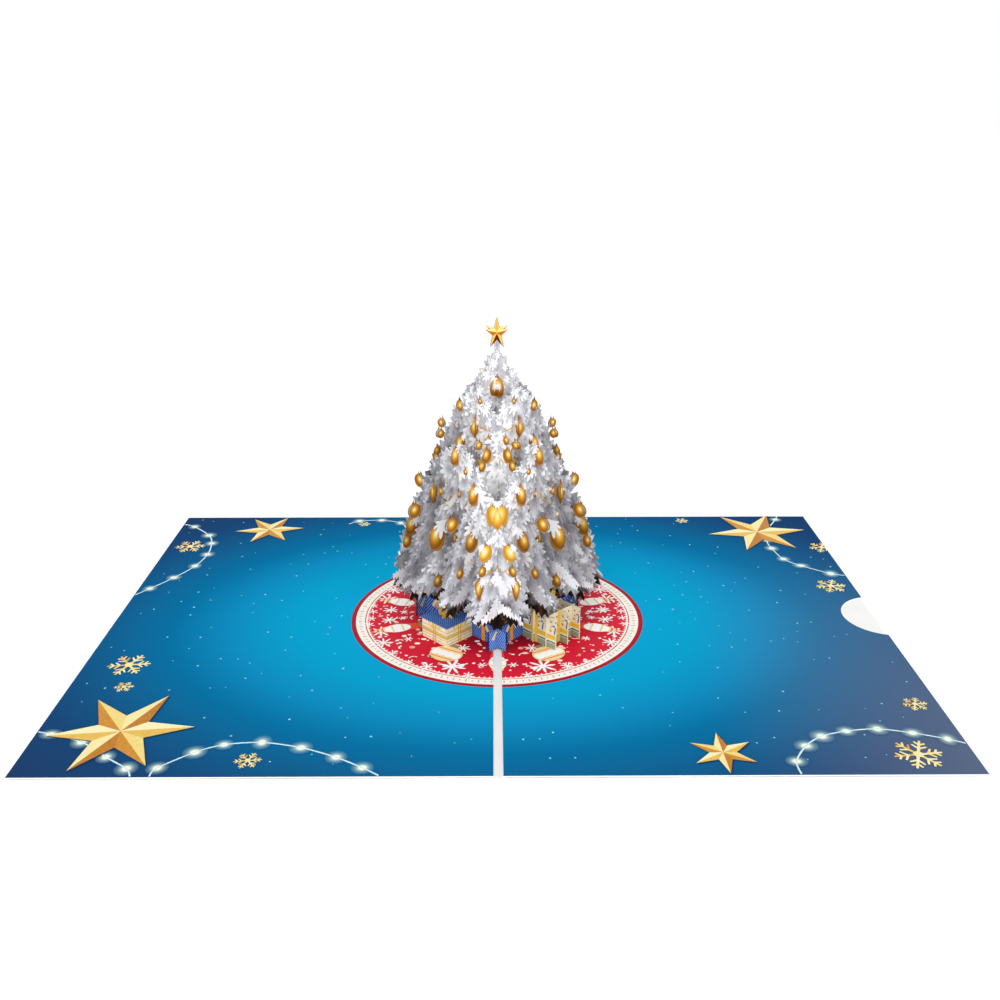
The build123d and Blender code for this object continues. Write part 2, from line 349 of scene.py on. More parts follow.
def print_on_card(film, outline, **how):
    """Lays an outline on the liners, cut at their edges and at the gap along the spine."""
    for side in (-1, 1):
        kept = cut(outline, 0, side * SPINE_EDGE, side)
        kept = cut(kept, 0, side * PANEL_EDGE, -side) if kept else kept
        for end in (-1, 1):
            kept = cut(kept, 1, end * FRONT_EDGE, -end) if kept else kept
        film.lay(on_card(), kept, **how)


# Geometry Nodes.


def new_tree(name, sockets):
    """An empty geometry tree with named inputs; gives the tree, its inputs and its output node."""
    tree = bpy.data.node_groups.new(name, "GeometryNodeTree")
    tree.interface.new_socket("Geometry", in_out="OUTPUT", socket_type="NodeSocketGeometry")
    tree.interface.new_socket("Geometry", in_out="INPUT", socket_type="NodeSocketGeometry")
    for label, kind in sockets.items():
        tree.interface.new_socket(label, in_out="INPUT", socket_type="NodeSocket" + kind)
    return tree, put(tree, "NodeGroupInput").outputs, put(tree, "NodeGroupOutput")


def grow(name, base, tree, values, body="card"):
    """Runs a geometry tree on a base mesh, and keeps the result as a plain piece."""
    piece = bpy.data.objects.new(name, base)
    bpy.context.scene.collection.objects.link(piece)
    modifier = piece.modifiers.new("grown", "NODES")
    modifier.node_group = tree
    for item in tree.interface.items_tree:
        if item.in_out == "INPUT" and item.name in values:
            modifier[item.identifier] = values[item.name]
    return finish_piece(piece, body)


def template(name, outline, spot, thickness):
    """A small flat shape with a body, which a geometry tree repeats; it isn't shown itself."""
    mesh = bpy.data.meshes.new(name)
    shape = bmesh.new()
    shape.faces.new([shape.verts.new((x * MM, y * MM, 0)) for x, y in outline])
    bottom = bmesh.ops.extrude_face_region(shape, geom=shape.faces[:])["geom"]
    moved = [corner for corner in bottom if isinstance(corner, bmesh.types.BMVert)]
    bmesh.ops.translate(shape, verts=moved, vec=(0, 0, thickness * MM))
    bmesh.ops.recalc_face_normals(shape, faces=shape.faces)
    layer = shape.loops.layers.uv.new("print")
    for face in shape.faces:
        for loop in face.loops:
            loop[layer].uv = spot(loop.vert.co.x / MM, loop.vert.co.y / MM)
    shape.to_mesh(mesh)
    shape.free()
    return bpy.data.objects.new(name, mesh)


def sheet_face(name, family, side):
    """One side of a family of tree slices, as one mesh of the faces that look that way."""
    off = on_plane(family, 0, side).out
    whole = bmesh.new()
    for row in ROWS:
        whole.from_mesh(NODES[f"tree_slice_{family}{row + 3}"].data)
    away = [face for face in whole.faces if face.normal.dot(off) < 0.9]
    bmesh.ops.delete(whole, geom=away, context="FACES")
    bmesh.ops.remove_doubles(whole, verts=whole.verts, dist=1e-6)
    mesh = bpy.data.meshes.new(name)
    whole.to_mesh(mesh)
    whole.free()
    return mesh


# What a user would change.


class CardColours(bpy.types.PropertyGroup):
    """Colours of the print and the room."""

    skirt: bpy.props.FloatVectorProperty(
        name="Skirt",
        description="Red of the skirt under the tree",
        subtype="COLOR",
        default=linear("#C9132D", alpha=False),
    )
    floor: bpy.props.FloatVectorProperty(
        name="Floor",
        description="Colour of the floor and the room",
        subtype="COLOR",
        default=linear("#F6F6F6", alpha=False),
    )


class CardSizes(bpy.types.PropertyGroup):
    """Sizes of the print."""

    sprig: bpy.props.FloatProperty(
        name="Sprig length",
        description="Length of one printed fir sprig",
        unit="LENGTH",
        default=9.5 * MM,
    )
    spacing: bpy.props.FloatProperty(
        name="Sprig spacing",
        description="Least distance between two sprigs",
        unit="LENGTH",
        default=3.5 * MM,
    )
    skirt_width: bpy.props.FloatProperty(
        name="Skirt half width",
        description="Half of the skirt's width across the spine",
        unit="LENGTH",
        default=48.7 * MM,
    )
    skirt_depth: bpy.props.FloatProperty(
        name="Skirt half depth",
        description="Half of the skirt's depth along the spine",
        unit="LENGTH",
        default=46.3 * MM,
    )


# Pieces.


class CARD_OT_papers(bpy.types.Operator):
    """Gives the cover, note card, tape and liners their papers"""

    bl_idname = "card.papers"
    bl_label = "Papers"

    def execute(self, context):
        # White coated card: bright and matt, with a faint fibre and a hair of warm mottling.
        board = paper("white_coated_card", 0.62, 0.05, 2.0, [(0.35, "#FAFAF8"), (0.65, "#FFFFFE")])
        # Uncoated writing card: rougher than the cover, and a little less white.
        uncoated = [(0.3, "#F3F3F0"), (0.7, "#FAFAF9")]
        note = paper("uncoated_note_card", 0.8, 0.08, 4.0, uncoated, 0.4, 0.25)
        # Double-sided tissue tape: a dull, slightly yellow film with the tissue's clouding.
        tape = paper("double_sided_tissue_tape", 0.45, 0.4, 5.0, [(0.3, "#E2DECB"), (0.7, "#EFECDF")], 0.3)
        liner = printed_liner()
        for name, node in NODES.items():
            sheet = tape if "tape" in name else liner if "liner" in name else None
            sheet = board if name == "cover" else note if name == "note_card" else sheet
            if sheet:
                dress(node, sheet)
        return {"FINISHED"}


STARS = (
    # centre X and Y, reach, and the first tip's angle
    (-104.0, -68.0, 20.0, 6.0),
    (-91.0, 75.5, 13.5, 7.0),
    (104.0, 72.0, 19.6, 6.0),
    (60.0, -79.0, 9.3, 31.0),
)
# A facet's tone by the way its slope looks: every sixth of a turn from 30 degrees.
FACET_TONES = (0.72, 0.97, 0.88, 0.22, 0.5, 0.12)


class CARD_OT_printed_stars(bpy.types.Operator):
    """Prints the four gold stars, each with twelve facets and a dark edge"""

    bl_idname = "card.printed_stars"
    bl_label = "Printed stars"

    def execute(self, context):
        film = Film()
        for x, y, reach, first in STARS:
            ring = []
            for point in range(12):
                turn = math.radians(first + 30 * point)
                long = reach if point % 2 == 0 else reach * 0.39
                ring.append((x + long * math.cos(turn), y + long * math.sin(turn)))
            shade = [(u + 0.35, v - 0.35) for u, v in ring]
            print_on_card(film, shade, layer=6, ink=1, tone=0.5)
            for point in range(12):
                tip_is_first = point % 2 == 0
                arm = first + 30 * (point if tip_is_first else point + 1)
                slope = arm + 90 if tip_is_first else arm - 90
                tone = FACET_TONES[round((slope - first - 30) / 60) % 6]
                facet = [(x, y), ring[point], ring[(point + 1) % 12]]
                print_on_card(film, facet, layer=7, ink=0, tone=tone)
        gold = ink("gold_star_ink", GOLD_STOPS, roughness=0.35, grain=0.25)
        shadow = ink("star_shadow_ink", [(0.0, "#0D2B4E"), (1.0, "#143A66")])
        film.piece("printed_stars", [gold, shadow], "printed_liner")
        return {"FINISHED"}


FLAKES = (
    # centre X and Y, width
    (-118.6, 59.1, 11.6),
    (-113.3, -31.6, 12.9),
    (-110.7, -44.5, 5.9),
    (-66.1, -81.8, 7.4),
    (-53.7, 81.4, 4.9),
    (76.0, 84.2, 5.3),
    (125.5, 56.7, 10.0),
    (118.9, 22.6, 11.0),
    (120.1, -55.3, 7.5),
    (111.8, -80.1, 13.5),
)


def flake_strokes(x, y, width, first, stroke):
    """The strokes of a six-armed snowflake with two pairs of barbs on each arm."""
    strokes = []
    for arm in range(6):
        turn = math.radians(60 * arm + first)
        along = Vector((math.cos(turn), math.sin(turn))) * width / 2
        middle = Vector((x, y))
        strokes.append(bar(middle, middle + along, stroke, stroke * 0.7))
        for share, length in ((0.42, 0.36), (0.7, 0.27)):
            root = middle + along * share
            for side in (-1, 1):
                bent = turn + side * math.radians(52)
                barb = Vector((math.cos(bent), math.sin(bent))) * width / 2 * length
                strokes.append(bar(root, root + barb, stroke * 0.85, stroke * 0.6))
    return strokes


class CARD_OT_snowflakes(bpy.types.Operator):
    """Prints the gold snowflakes"""

    bl_idname = "card.snowflakes"
    bl_label = "Snowflakes"

    def execute(self, context):
        film = Film()
        draw = random.Random(11)
        for x, y, width in FLAKES:
            strokes = flake_strokes(x, y, width, 8, max(0.066 * width, 0.42))
            for order, stroke in enumerate(strokes):
                tone = 0.68 + 0.3 * draw.random() - (0.4 if order in (10, 11, 15) else 0)
                print_on_card(film, stroke, layer=2 + 0.12 * order, tone=tone)
            centre = circle(x, y, 0.1 * width, 12)
            print_on_card(film, centre, layer=6, tone=0.9)
        gold = ink("gold_flake_ink", GOLD_STOPS, roughness=0.35, grain=0.3)
        film.piece("printed_snowflakes", [gold], "printed_liner")
        return {"FINISHED"}


STRINGS = (
    # a light at each of these points but the ends that leave the card
    (
        (-127, 81.5), (-122, 79), (-114, 70), (-111, 62), (-110, 51.5),
        (-112, 41), (-117, 31), (-123, 22), (-127, 17),
    ),
    ((-127, -68), (-122.8, -69.2), (-113, -73), (-104, -80), (-97, -85.2), (-95, -88.9)),
    (
        (-90, -88.9), (-89, -85), (-81, -78), (-74, -74.5), (-64, -73.5),
        (-53, -76), (-43, -80.5), (-35.5, -85.2), (-31, -88.9),
    ),
    ((-60, 81.5), (-56, 84.6), (-47, 85.4), (-39, 82.5), (-36, 76)),
    ((110, 77), (106, 64), (106, 56), (108, 46), (113, 40), (122, 33), (127, 31.5)),
    ((110, 77), (114.6, 85.2), (116, 88.9)),
    (
        (78.4, -88.9), (78.6, -83), (83, -76), (88.5, -71.5), (96, -69),
        (105, -68), (114, -70), (122.5, -73), (127, -75),
    ),
)
# Ends of strings that lie on the card and carry no light.
UNLIT_ENDS = ((-60, 81.5), (-36, 76), (110, 77))


def string_tree(line_ink, light_ink):
    """Follows each path with a flat printed cord, and sets a light on its marked points."""
    sockets = {"Cord": "Float", "Light": "Object", "Height": "Float", "Seed": "Int"}
    tree, given, end = new_tree("light_string", sockets)
    curve = put(tree, "GeometryNodeMeshToCurve", (given["Geometry"],))
    smooth = put(tree, "GeometryNodeCurveSplineType", {"Curve": curve}, spline_type="CATMULL_ROM")
    fine = put(tree, "GeometryNodeResampleCurve", {"Curve": smooth, "Count": 60})
    section = put(tree, "GeometryNodeCurvePrimitiveCircle", {"Resolution": 6, "Radius": given["Cord"]})
    swept = {"Curve": fine, "Profile Curve": section, "Fill Caps": True}
    cord = put(tree, "GeometryNodeCurveToMesh", swept)
    # The round cord is pressed to a quarter of its height.
    parts = put(tree, "SeparateXYZ", (put(tree, "GeometryNodeInputPosition"),)).outputs
    above = put(tree, "Math", (parts["Z"], given["Height"]), operation="SUBTRACT")
    flat = put(tree, "Math", (above, 0.25, given["Height"]), operation="MULTIPLY_ADD")
    pressed = put(tree, "CombineXYZ", (parts["X"], parts["Y"], flat))
    lying = put(tree, "GeometryNodeSetPosition", {"Geometry": cord, "Position": pressed})
    lined = put(tree, "GeometryNodeSetMaterial", {"Geometry": lying, "Material": line_ink})
    marked = put(tree, "GeometryNodeInputNamedAttribute", {"Name": "light"}, data_type="FLOAT")
    is_light = put(tree, "Math", (marked, 0.5), operation="GREATER_THAN")
    light = put(tree, "GeometryNodeObjectInfo", {"Object": given["Light"], "As Instance": True})
    limits = {"Min": (0.85, 0.85, 1), "Max": (1.2, 1.15, 1), "Seed": given["Seed"]}
    size = put(tree, "FunctionNodeRandomValue", limits, data_type="FLOAT_VECTOR")
    set_out = {
        "Points": given["Geometry"],
        "Selection": is_light,
        "Instance": light.outputs["Geometry"],
        "Scale": size,
    }
    lights = put(tree, "GeometryNodeInstanceOnPoints", set_out)
    real = put(tree, "GeometryNodeRealizeInstances", {"Geometry": lights})
    lit = put(tree, "GeometryNodeSetMaterial", {"Geometry": real, "Material": light_ink})
    joined = put(tree, "GeometryNodeJoinGeometry")
    tree.links.new(lined.outputs[0], joined.inputs[0])
    tree.links.new(lit.outputs[0], joined.inputs[0])
    tree.links.new(joined.outputs[0], end.inputs[0])
    return tree


class CARD_OT_light_strings(bpy.types.Operator):
    """Prints the strings of lights with their glow"""

    bl_idname = "card.light_strings"
    bl_label = "Light strings"

    def execute(self, context):
        line_ink = ink("string_ink", [(0.0, "#D3EEF3"), (0.4, "#F2FBFA")], grain=0.6)
        glow, tree, shader = new_material("glowing_light_ink", 0.6)
        reach = from_middle(tree)
        # The glow fades into the liner's own blue, so that its rim doesn't show.
        fading = [(0.0, "#FFFFFF"), (0.27, "#FFFFFF"), (0.4, "#C8C8C8"), (0.65, "#808080"), (1.0, "#000000")]
        falloff = put(tree, "ValToRGB", (reach,), fading)
        tints = [(0.0, "#FFFFFF"), (0.3, "#FDFFE8"), (0.5, "#D3F4DF"), (1.0, "#8FD6E6")]
        tint = put(tree, "ValToRGB", (reach,), tints)
        colours = {"Factor": falloff, "A": liner_ink(tree, millimetres(tree)), "B": tint}
        mixed = put(tree, "Mix", colours, data_type="RGBA")
        tree.links.new(mixed.outputs["Result"], shader.inputs["Base Color"])
        light = template("light", circle(0, 0, 3.0, 20), radial(0, 0, 3.0), 0.02)
        height = CARD_TOP + 0.08
        net = bmesh.new()
        mark = net.verts.layers.float.new("light")
        for path in STRINGS:
            before = None
            for x, y in path:
                at_edge = abs(x) > PANEL_EDGE - 0.5 or abs(y) > FRONT_EDGE - 0.5
                x = max(-PANEL_EDGE + 0.4, min(PANEL_EDGE - 0.4, x))
                y = max(-FRONT_EDGE + 0.4, min(FRONT_EDGE - 0.4, y))
                corner = net.verts.new((x * MM, y * MM, height * MM))
                corner[mark] = 0.0 if at_edge or (x, y) in UNLIT_ENDS else 1.0
                if before:
                    net.edges.new((before, corner))
                before = corner
        base = bpy.data.meshes.new("light_strings")
        net.to_mesh(base)
        net.free()
        values = {"Cord": 0.27 * MM, "Light": light, "Height": height * MM, "Seed": 3}
        grow("printed_light_strings", base, string_tree(line_ink, glow), values)
        return {"FINISHED"}


def dots_tree(dot_ink):
    """Scatters round printed dots over a surface."""
    numbers = dict.fromkeys(("Spacing", "Density", "Least", "Most"), "Float")
    tree, given, end = new_tree("printed_dots", {"Dot": "Object", **numbers, "Seed": "Int"})
    scattered = {
        "Mesh": given["Geometry"],
        "Distance Min": given["Spacing"],
        "Density Max": given["Density"],
        "Seed": given["Seed"],
    }
    spread = put(tree, "GeometryNodeDistributePointsOnFaces", scattered, distribute_method="POISSON")
    dot = put(tree, "GeometryNodeObjectInfo", {"Object": given["Dot"], "As Instance": True})
    limits = {"Min": given["Least"], "Max": given["Most"], "Seed": given["Seed"]}
    size = put(tree, "FunctionNodeRandomValue", limits, data_type="FLOAT")
    set_out = {
        "Points": spread.outputs["Points"],
        "Instance": dot.outputs["Geometry"],
        "Rotation": spread.outputs["Rotation"],
        "Scale": size,
    }
    dots = put(tree, "GeometryNodeInstanceOnPoints", set_out)
    real = put(tree, "GeometryNodeRealizeInstances", {"Geometry": dots})
    inked = put(tree, "GeometryNodeSetMaterial", {"Geometry": real, "Material": dot_ink})
    tree.links.new(inked.outputs[0], end.inputs[0])
    return tree


def flat_field(name, height, keep):
    """A mesh of small squares over the liners, for dots to scatter on, where keep says so."""
    field = bmesh.new()
    step = 4.0
    for column in range(int(2 * PANEL_EDGE / step)):
        for row in range(int(2 * FRONT_EDGE / step)):
            x, y = -PANEL_EDGE + step * (column + 0.5), -FRONT_EDGE + step * (row + 0.5)
            if keep(x, y):
                around = [(-1, -1), (1, -1), (1, 1), (-1, 1)]
                field.faces.new(
                    [
                        field.verts.new(((x + i * step / 2) * MM, (y + j * step / 2) * MM, height * MM))
                        for i, j in around
                    ]
                )
    bmesh.ops.remove_doubles(field, verts=field.verts, dist=1e-6)
    mesh = bpy.data.meshes.new(name)
    field.to_mesh(mesh)
    field.free()
    return mesh


class CARD_OT_sky_dots(bpy.types.Operator):
    """Scatters the small pale dots over the blue print"""

    bl_idname = "card.sky_dots"
    bl_label = "Sky dots"

    def execute(self, context):
        pale = ink("pale_dot_ink", [(0.0, "#7CCBE6"), (0.2, "#C4EBF5")], grain=1.0)
        dot = template("dot", circle(0, 0, 0.3, 10), radial(0, 0, 0.3), 0.02)

        def open_sky(x, y):
            """Away from the skirt, the stars, the spine and the thumb notch."""
            clear_of_stars = all(math.hypot(x - u, y - v) > reach + 2 for u, v, reach, _ in STARS)
            clear_of_notch = math.hypot(x - PANEL_EDGE, y - notch_centre()) > 19
            return (
                math.hypot(x / 52, y / 50) > 1
                and clear_of_stars
                and clear_of_notch
                and 4 < abs(x) < PANEL_EDGE - 3
                and abs(y) < FRONT_EDGE - 3
            )

        base = flat_field("sky_dots", CARD_TOP + 0.02, open_sky)
        values = {
            "Dot": dot, "Spacing": 4.5 * MM, "Density": 9500.0, "Least": 0.6, "Most": 1.25, "Seed": 5
        }
        grow("printed_sky_dots", base, dots_tree(pale), values)
        return {"FINISHED"}


def notch_centre():
    """Where along the right edge the thumb notch is cut, read from the liner itself."""
    corners = [corner.co / MM for corner in NODES["right_liner"].data.vertices]
    rounded = [corner.y for corner in corners if PANEL_EDGE - 12 < corner.x < PANEL_EDGE - 8]
    return sum(rounded) / len(rounded)


SKIRT_CENTRE = (0.0, 1.1)
# Flakes of the front left quarter: across and along the spine from the skirt's middle, and reach.
SKIRT_FLAKES = (
    (-38.0, -11.8, 3.8), (-36.4, -19.2, 3.3), (-13.9, -34.3, 4.6), (-10.9, -22.9, 2.6),
    (-32.9, -26.0, 2.2), (-42.2, -6.8, 1.9), (-21.6, -34.3, 2.5), (-9.0, -39.4, 2.2),
    (-37.9, -15.4, 0.9), (-28.6, -16.8, 1.8), (-17.7, -25.6, 1.6), (-4.8, -33.5, 1.8),
    (-42.0, 2.5, 2.0), (-36.0, 3.6, 2.9), (-27.4, -31.5, 1.4), (-31.5, -2.2, 1.5),
)


def turned(place, turn, points):
    """Points along and beside a direction, at a place on the card."""
    ahead, aside = math.cos(turn), math.sin(turn)
    return [(place[0] + ahead * u - aside * v, place[1] + aside * u + ahead * v) for u, v in points]


def leaf(place, turn, reach, width):
    """A narrow pointed leaf that starts at a place and is widest past its middle."""
    shares = ((0.0, -0.26), (0.6, -0.5), (0.85, -0.36), (1.0, 0.0), (0.85, 0.36), (0.6, 0.5), (0.0, 0.26))
    return turned(place, turn, [(reach * ahead, width * beside) for ahead, beside in shares])


class CARD_OT_skirt(bpy.types.Operator):
    """Prints the red skirt under the tree, with its border, flakes and ornaments"""

    bl_idname = "card.skirt"
    bl_label = "Skirt"

    def execute(self, context):
        sizes = context.scene.card_sizes
        wide, deep = sizes.skirt_width / MM, sizes.skirt_depth / MM
        film = Film()
        self.border(film, wide, deep / wide)
        self.flakes(film, wide, deep)
        x, y = SKIRT_CENTRE
        # Each motif's parts (outline, layer, ink and tone), its share of the way to the rim, and the
        # angles round the skirt at which it stands.
        for parts, share, angles in (
            (self.finial(), 0.7, (17, 90, 163, 197, 270, 343)),
            (self.round_ornament(), 0.66, (60, 120, 240, 300)),
        ):
            for turn in map(math.radians, angles):
                place = (x + share * wide * math.cos(turn), y + share * deep * math.sin(turn))
                for points, layer, shade, tone in parts:
                    outline = turned(place, turn, points)
                    print_on_card(film, outline, layer=layer, ink=shade, tone=tone)
        red, tree, shader = new_material("red_skirt_ink", 0.6)
        where = millimetres(tree)
        # Painted shadow of the tree: the red is darkest under the tree and lightest out at the rim, and noise
        # makes the shadow's edge ragged.
        flat = put(tree, "VectorMath", (where, (1, 1.05, 0)), operation="MULTIPLY")
        reach = put(tree, "VectorMath", (flat,), operation="LENGTH")
        shadow_edge_noise = put(tree, "TexNoise", {"Vector": where, "Scale": 1.1, "Detail": 2.0})
        shadow_reach = put(tree, "Math", (shadow_edge_noise, 5.0, reach), operation="MULTIPLY_ADD")
        share = put(tree, "MapRange", (shadow_reach, 22, 46))
        ramp = put(tree, "ValToRGB", (share,), [(0.0, "#980B1E"), (0.35, "#C9132D"), (1.0, "#E01E3A")])
        ramp.color_ramp.elements[1].color = (*context.scene.card_colours.skirt, 1.0)
        tree.links.new(ramp.outputs[0], shader.inputs["Base Color"])
        inks = [
            red,
            ink("dark_red_rim_ink", [(0.0, "#A00B1D"), (1.0, "#B51023")], grain=0.8),
            ink(
                "cream_white_ink",
                [(0.0, "#F29A86"), (0.35, "#FBD3C2"), (0.6, "#FFF8EA"), (1.0, "#FFFFFF")],
                grain=0.1,
            ),
            ink("border_red_ink", [(0.0, "#B81A2C"), (1.0, "#D8434A")], grain=0.8),
            ink("braid_ink", [(0.0, "#8A7C6C"), (1.0, "#C9A892")], grain=0.6),
            ink("ornament_cream_ink", [(0.0, "#F4B05F"), (1.0, "#FBE2A4")], grain=0.2),
            ink("ornament_green_ink", [(0.0, "#6E8562"), (1.0, "#93A27C")], grain=0.6),
            ink("ornament_orange_ink", [(0.0, "#E23A26"), (1.0, "#F46A3C")], grain=0.5),
        ]
        film.piece("printed_skirt", inks, "printed_liner", thickness=0.01)
        return {"FINISHED"}

    def border(self, film, wide, tall):
        """The rings of the rim, the strokes in its cream band and the small points inside it."""
        x, y = SKIRT_CENTRE
        # Rings from the rim inwards: how far each lies inside the rim, and its ink.
        rings = ((0.0, 1), (1.5, 2), (4.5, 3), (4.85, 2), (5.4, 0))
        for order, (inset, shade) in enumerate(rings):
            outline = circle(x, y, wide - inset, 160, tall)
            print_on_card(film, outline, layer=0.5 + 0.35 * order, ink=shade, tone=0.72)
        strokes = 150
        for tick in range(strokes):
            turn = 2 * math.pi * (tick + 0.5) / strokes
            place = (x + (wide - 3.0) * math.cos(turn), y + (wide - 3.0) * tall * math.sin(turn))
            long = 0.35 + 0.3 * (tick % 2)
            stroke = turned(place, turn, [(-long, -0.13), (long, -0.13), (long, 0.13), (-long, 0.13)])
            print_on_card(film, stroke, layer=4, ink=4, tone=0.3 + 0.4 * (tick % 3 == 0))
        points = 170
        for tick in range(points):
            turn = 2 * math.pi * tick / points
            place = (x + (wide - 5.3) * math.cos(turn), y + (wide - 5.3) * tall * math.sin(turn))
            print_on_card(
                film, turned(place, turn, [(0, -0.4), (0, 0.4), (-0.85, 0)]), layer=3, ink=2, tone=0.5
            )

    def flakes(self, film, wide, deep):
        """White flakes with the same places in all four quarters, and dots between them."""
        x, y = SKIRT_CENTRE
        draw = random.Random(23)
        for across, along, reach in SKIRT_FLAKES:
            for side, end in ((1, 1), (-1, 1), (1, -1), (-1, -1)):
                place = (x + side * across, y + end * along)
                arms = 8 if reach > 2.4 else 6
                first = draw.uniform(0, 1)
                for arm in range(arms):
                    turn = 2 * math.pi * arm / arms + first + draw.uniform(-0.12, 0.12)
                    long = reach * draw.uniform(0.78, 1.08)
                    outline = leaf(place, turn, long, max(reach * 0.2, 0.45))
                    print_on_card(film, outline, layer=4 + 0.1 * arm, ink=2, tone=0.95)
                print_on_card(film, circle(*place, reach * 0.16, 8), layer=5.2, ink=2, tone=0.95)
        for order in range(420):
            turn, share = draw.uniform(0, 2 * math.pi), math.sqrt(draw.uniform(0.16, 0.74))
            place = (x + wide * share * math.cos(turn), y + deep * share * math.sin(turn))
            radius = draw.uniform(0.28, 0.62) if order % 4 else draw.uniform(0.7, 1.0)
            dot = circle(*place, radius, 10, draw.uniform(0.6, 1.0))
            print_on_card(film, dot, layer=3.9, ink=2, tone=draw.choice((0.1, 0.35, 0.75, 0.95)))
        # A few curls of three short strokes.
        for order in range(28):
            turn, share = draw.uniform(0, 2 * math.pi), draw.uniform(0.45, 0.84)
            place = (x + wide * share * math.cos(turn), y + deep * share * math.sin(turn))
            lean = draw.uniform(0, 2 * math.pi)
            for piece in range(3):
                bent = lean + 0.7 * piece
                print_on_card(film, leaf(place, bent, 1.3, 0.45), layer=3.8, ink=2, tone=0.6)
                place = turned(place, bent, [(1.0, 0.0)])[0]

    def finial(self):
        """A long ornament that points to the rim: striped point, banded white body, neck and cap."""
        parts = [
            ([(-7.6, -1.7), (-7.6, 1.7), (-3.0, 2.3), (-3.0, -2.3)], 6, 7, 0.3),
            ([(-9.4, -2.4), (-9.4, 2.4), (-7.4, 2.0), (-7.4, -2.0)], 6.2, 6, 0.5),
            ([(3.0, -2.2), (3.0, 2.2), (9.0, 0.0)], 6, 7, 0.9),
        ]
        for near, far in ((3.6, 4.8), (5.4, 6.4), (7.0, 8.0)):
            half_near, half_far = 2.2 * (9 - near) / 6, 2.2 * (9 - far) / 6
            stripe = [(near, -half_near), (near, half_near), (far, half_far), (far, -half_far)]
            parts.append((stripe, 6.3, 5, 0.8))
        parts.append((circle(0.0, 0.0, 4.3, 32, 0.63), 6.6, 2, 1.0))
        for across in (-1.7, 1.7):
            corners = ((-0.3, -2.3), (-0.3, 2.3), (0.3, 2.3), (0.3, -2.3))
            parts.append(([(across + u, v) for u, v in corners], 7, 5, 0.6))
        return parts

    def round_ornament(self):
        """A round cream ornament with a scalloped white band, two thin lines and a green cap."""
        band = []
        for side in (1, -1):
            for step in range(25):
                across = side * (-4.8 + 9.6 * step / 24)
                band.append((side * (1.1 + 0.6 * abs(math.sin(math.pi * step / 6))), across))
        return [
            ([(-6.0, -1.2), (-6.0, 1.2), (-4.2, 1.4), (-4.2, -1.4)], 5.8, 6, 0.5),
            (circle(0.0, 0.0, 4.6, 32, 1.17), 6, 5, 0.85),
            (band, 6.3, 2, 1.0),
            ([(2.4, -4.3), (2.4, 4.3), (2.8, 4.0), (2.8, -4.0)], 6.5, 7, 0.9),
            ([(-2.4, -4.3), (-2.4, 4.3), (-2.8, 4.0), (-2.8, -4.0)], 6.5, 7, 0.9),
        ]


def fir_base():
    """Matt paper printed with soft grey fir foliage; its cut edges are a plain pale grey."""
    material, tree, shader = new_material("fir_print_paper", 0.65)
    where = millimetres(tree)
    parts = put(tree, "SeparateXYZ", (where,)).outputs
    # Needles fan out from above the tree's top: about 0.8 mm wide and 5 mm long halfway down.
    drop = put(tree, "Math", (CARD_TOP + 97, parts["Z"]), operation="SUBTRACT")
    drop = put(tree, "Math", (drop, 6.0), operation="MAXIMUM")
    level = put(tree, "CombineXYZ", (drop, drop, 1.0))
    centred = put(tree, "VectorMath", (where, (0, TREE_SHIFT, 0)), operation="SUBTRACT")
    fanned = put(tree, "VectorMath", (centred, level), operation="DIVIDE")
    streaks = put(tree, "VectorMath", (fanned, (60, 60, 0.2)), operation="MULTIPLY")
    fine = put(tree, "TexNoise", {"Vector": streaks, "Scale": 1.0, "Detail": 3.0})
    broad = put(tree, "TexNoise", {"Vector": where, "Scale": 0.17, "Detail": 2.0})
    broad = put(tree, "Math", (broad, 0.45), operation="MULTIPLY")
    shade = put(tree, "Math", (fine, 0.55, broad), operation="MULTIPLY_ADD")
    aside = put(tree, "Math", (parts["X"],), operation="ABSOLUTE")
    aside = put(tree, "Math", (aside, -0.0032), operation="MULTIPLY")
    higher = put(tree, "Math", (parts["Z"], 0.0011, aside), operation="MULTIPLY_ADD")
    shade = put(tree, "Math", (shade, higher), operation="ADD")
    greys = [(0.36, "#858489"), (0.46, "#A8A7AC"), (0.56, "#C9C8CD"), (0.68, "#E9E8EC")]
    printed = put(tree, "ValToRGB", (shade,), greys)
    # Between the lowest branches the print is dark.
    coarse = put(tree, "TexNoise", {"Vector": streaks, "Scale": 0.9, "Detail": 1.0})
    darks = [(0.35, "#0E0C0B"), (0.5, "#2A1F16"), (0.6, "#33331F"), (0.68, "#5E2A1C")]
    gap = put(tree, "ValToRGB", (coarse,), darks)
    ragged = put(tree, "TexNoise", {"Vector": where, "Scale": 0.3, "Detail": 1.0})
    low = put(tree, "Math", (ragged, 9.0, parts["Z"]), operation="MULTIPLY_ADD")
    is_low = put(tree, "MapRange", (low, CARD_TOP + 19.0, CARD_TOP + 23.5, 1.0, 0.0))
    foliage = put(tree, "Mix", {"Factor": is_low, "A": printed, "B": gap}, data_type="RGBA")
    # Only faces that look along one of the rows are printed.
    facing = put(tree, "TexCoord").outputs["Normal"]
    looks = []
    for aim in ((DIAGONAL, DIAGONAL, 0), (-DIAGONAL, DIAGONAL, 0)):
        look = put(tree, "VectorMath", (facing, aim), operation="DOT_PRODUCT")
        look = put(tree, "Math", (look,), operation="ABSOLUTE")
        looks.append(look)
    most = put(tree, "Math", (looks[0], looks[1]), operation="MAXIMUM")
    is_face = put(tree, "Math", (most, 0.98), operation="GREATER_THAN")
    mixed = put(tree, "Mix", {"Factor": is_face, "A": linear("#98989D"), "B": foliage}, data_type="RGBA")
    tree.links.new(mixed.outputs["Result"], shader.inputs["Base Color"])
    add_fibre(tree, shader, where)
    return material


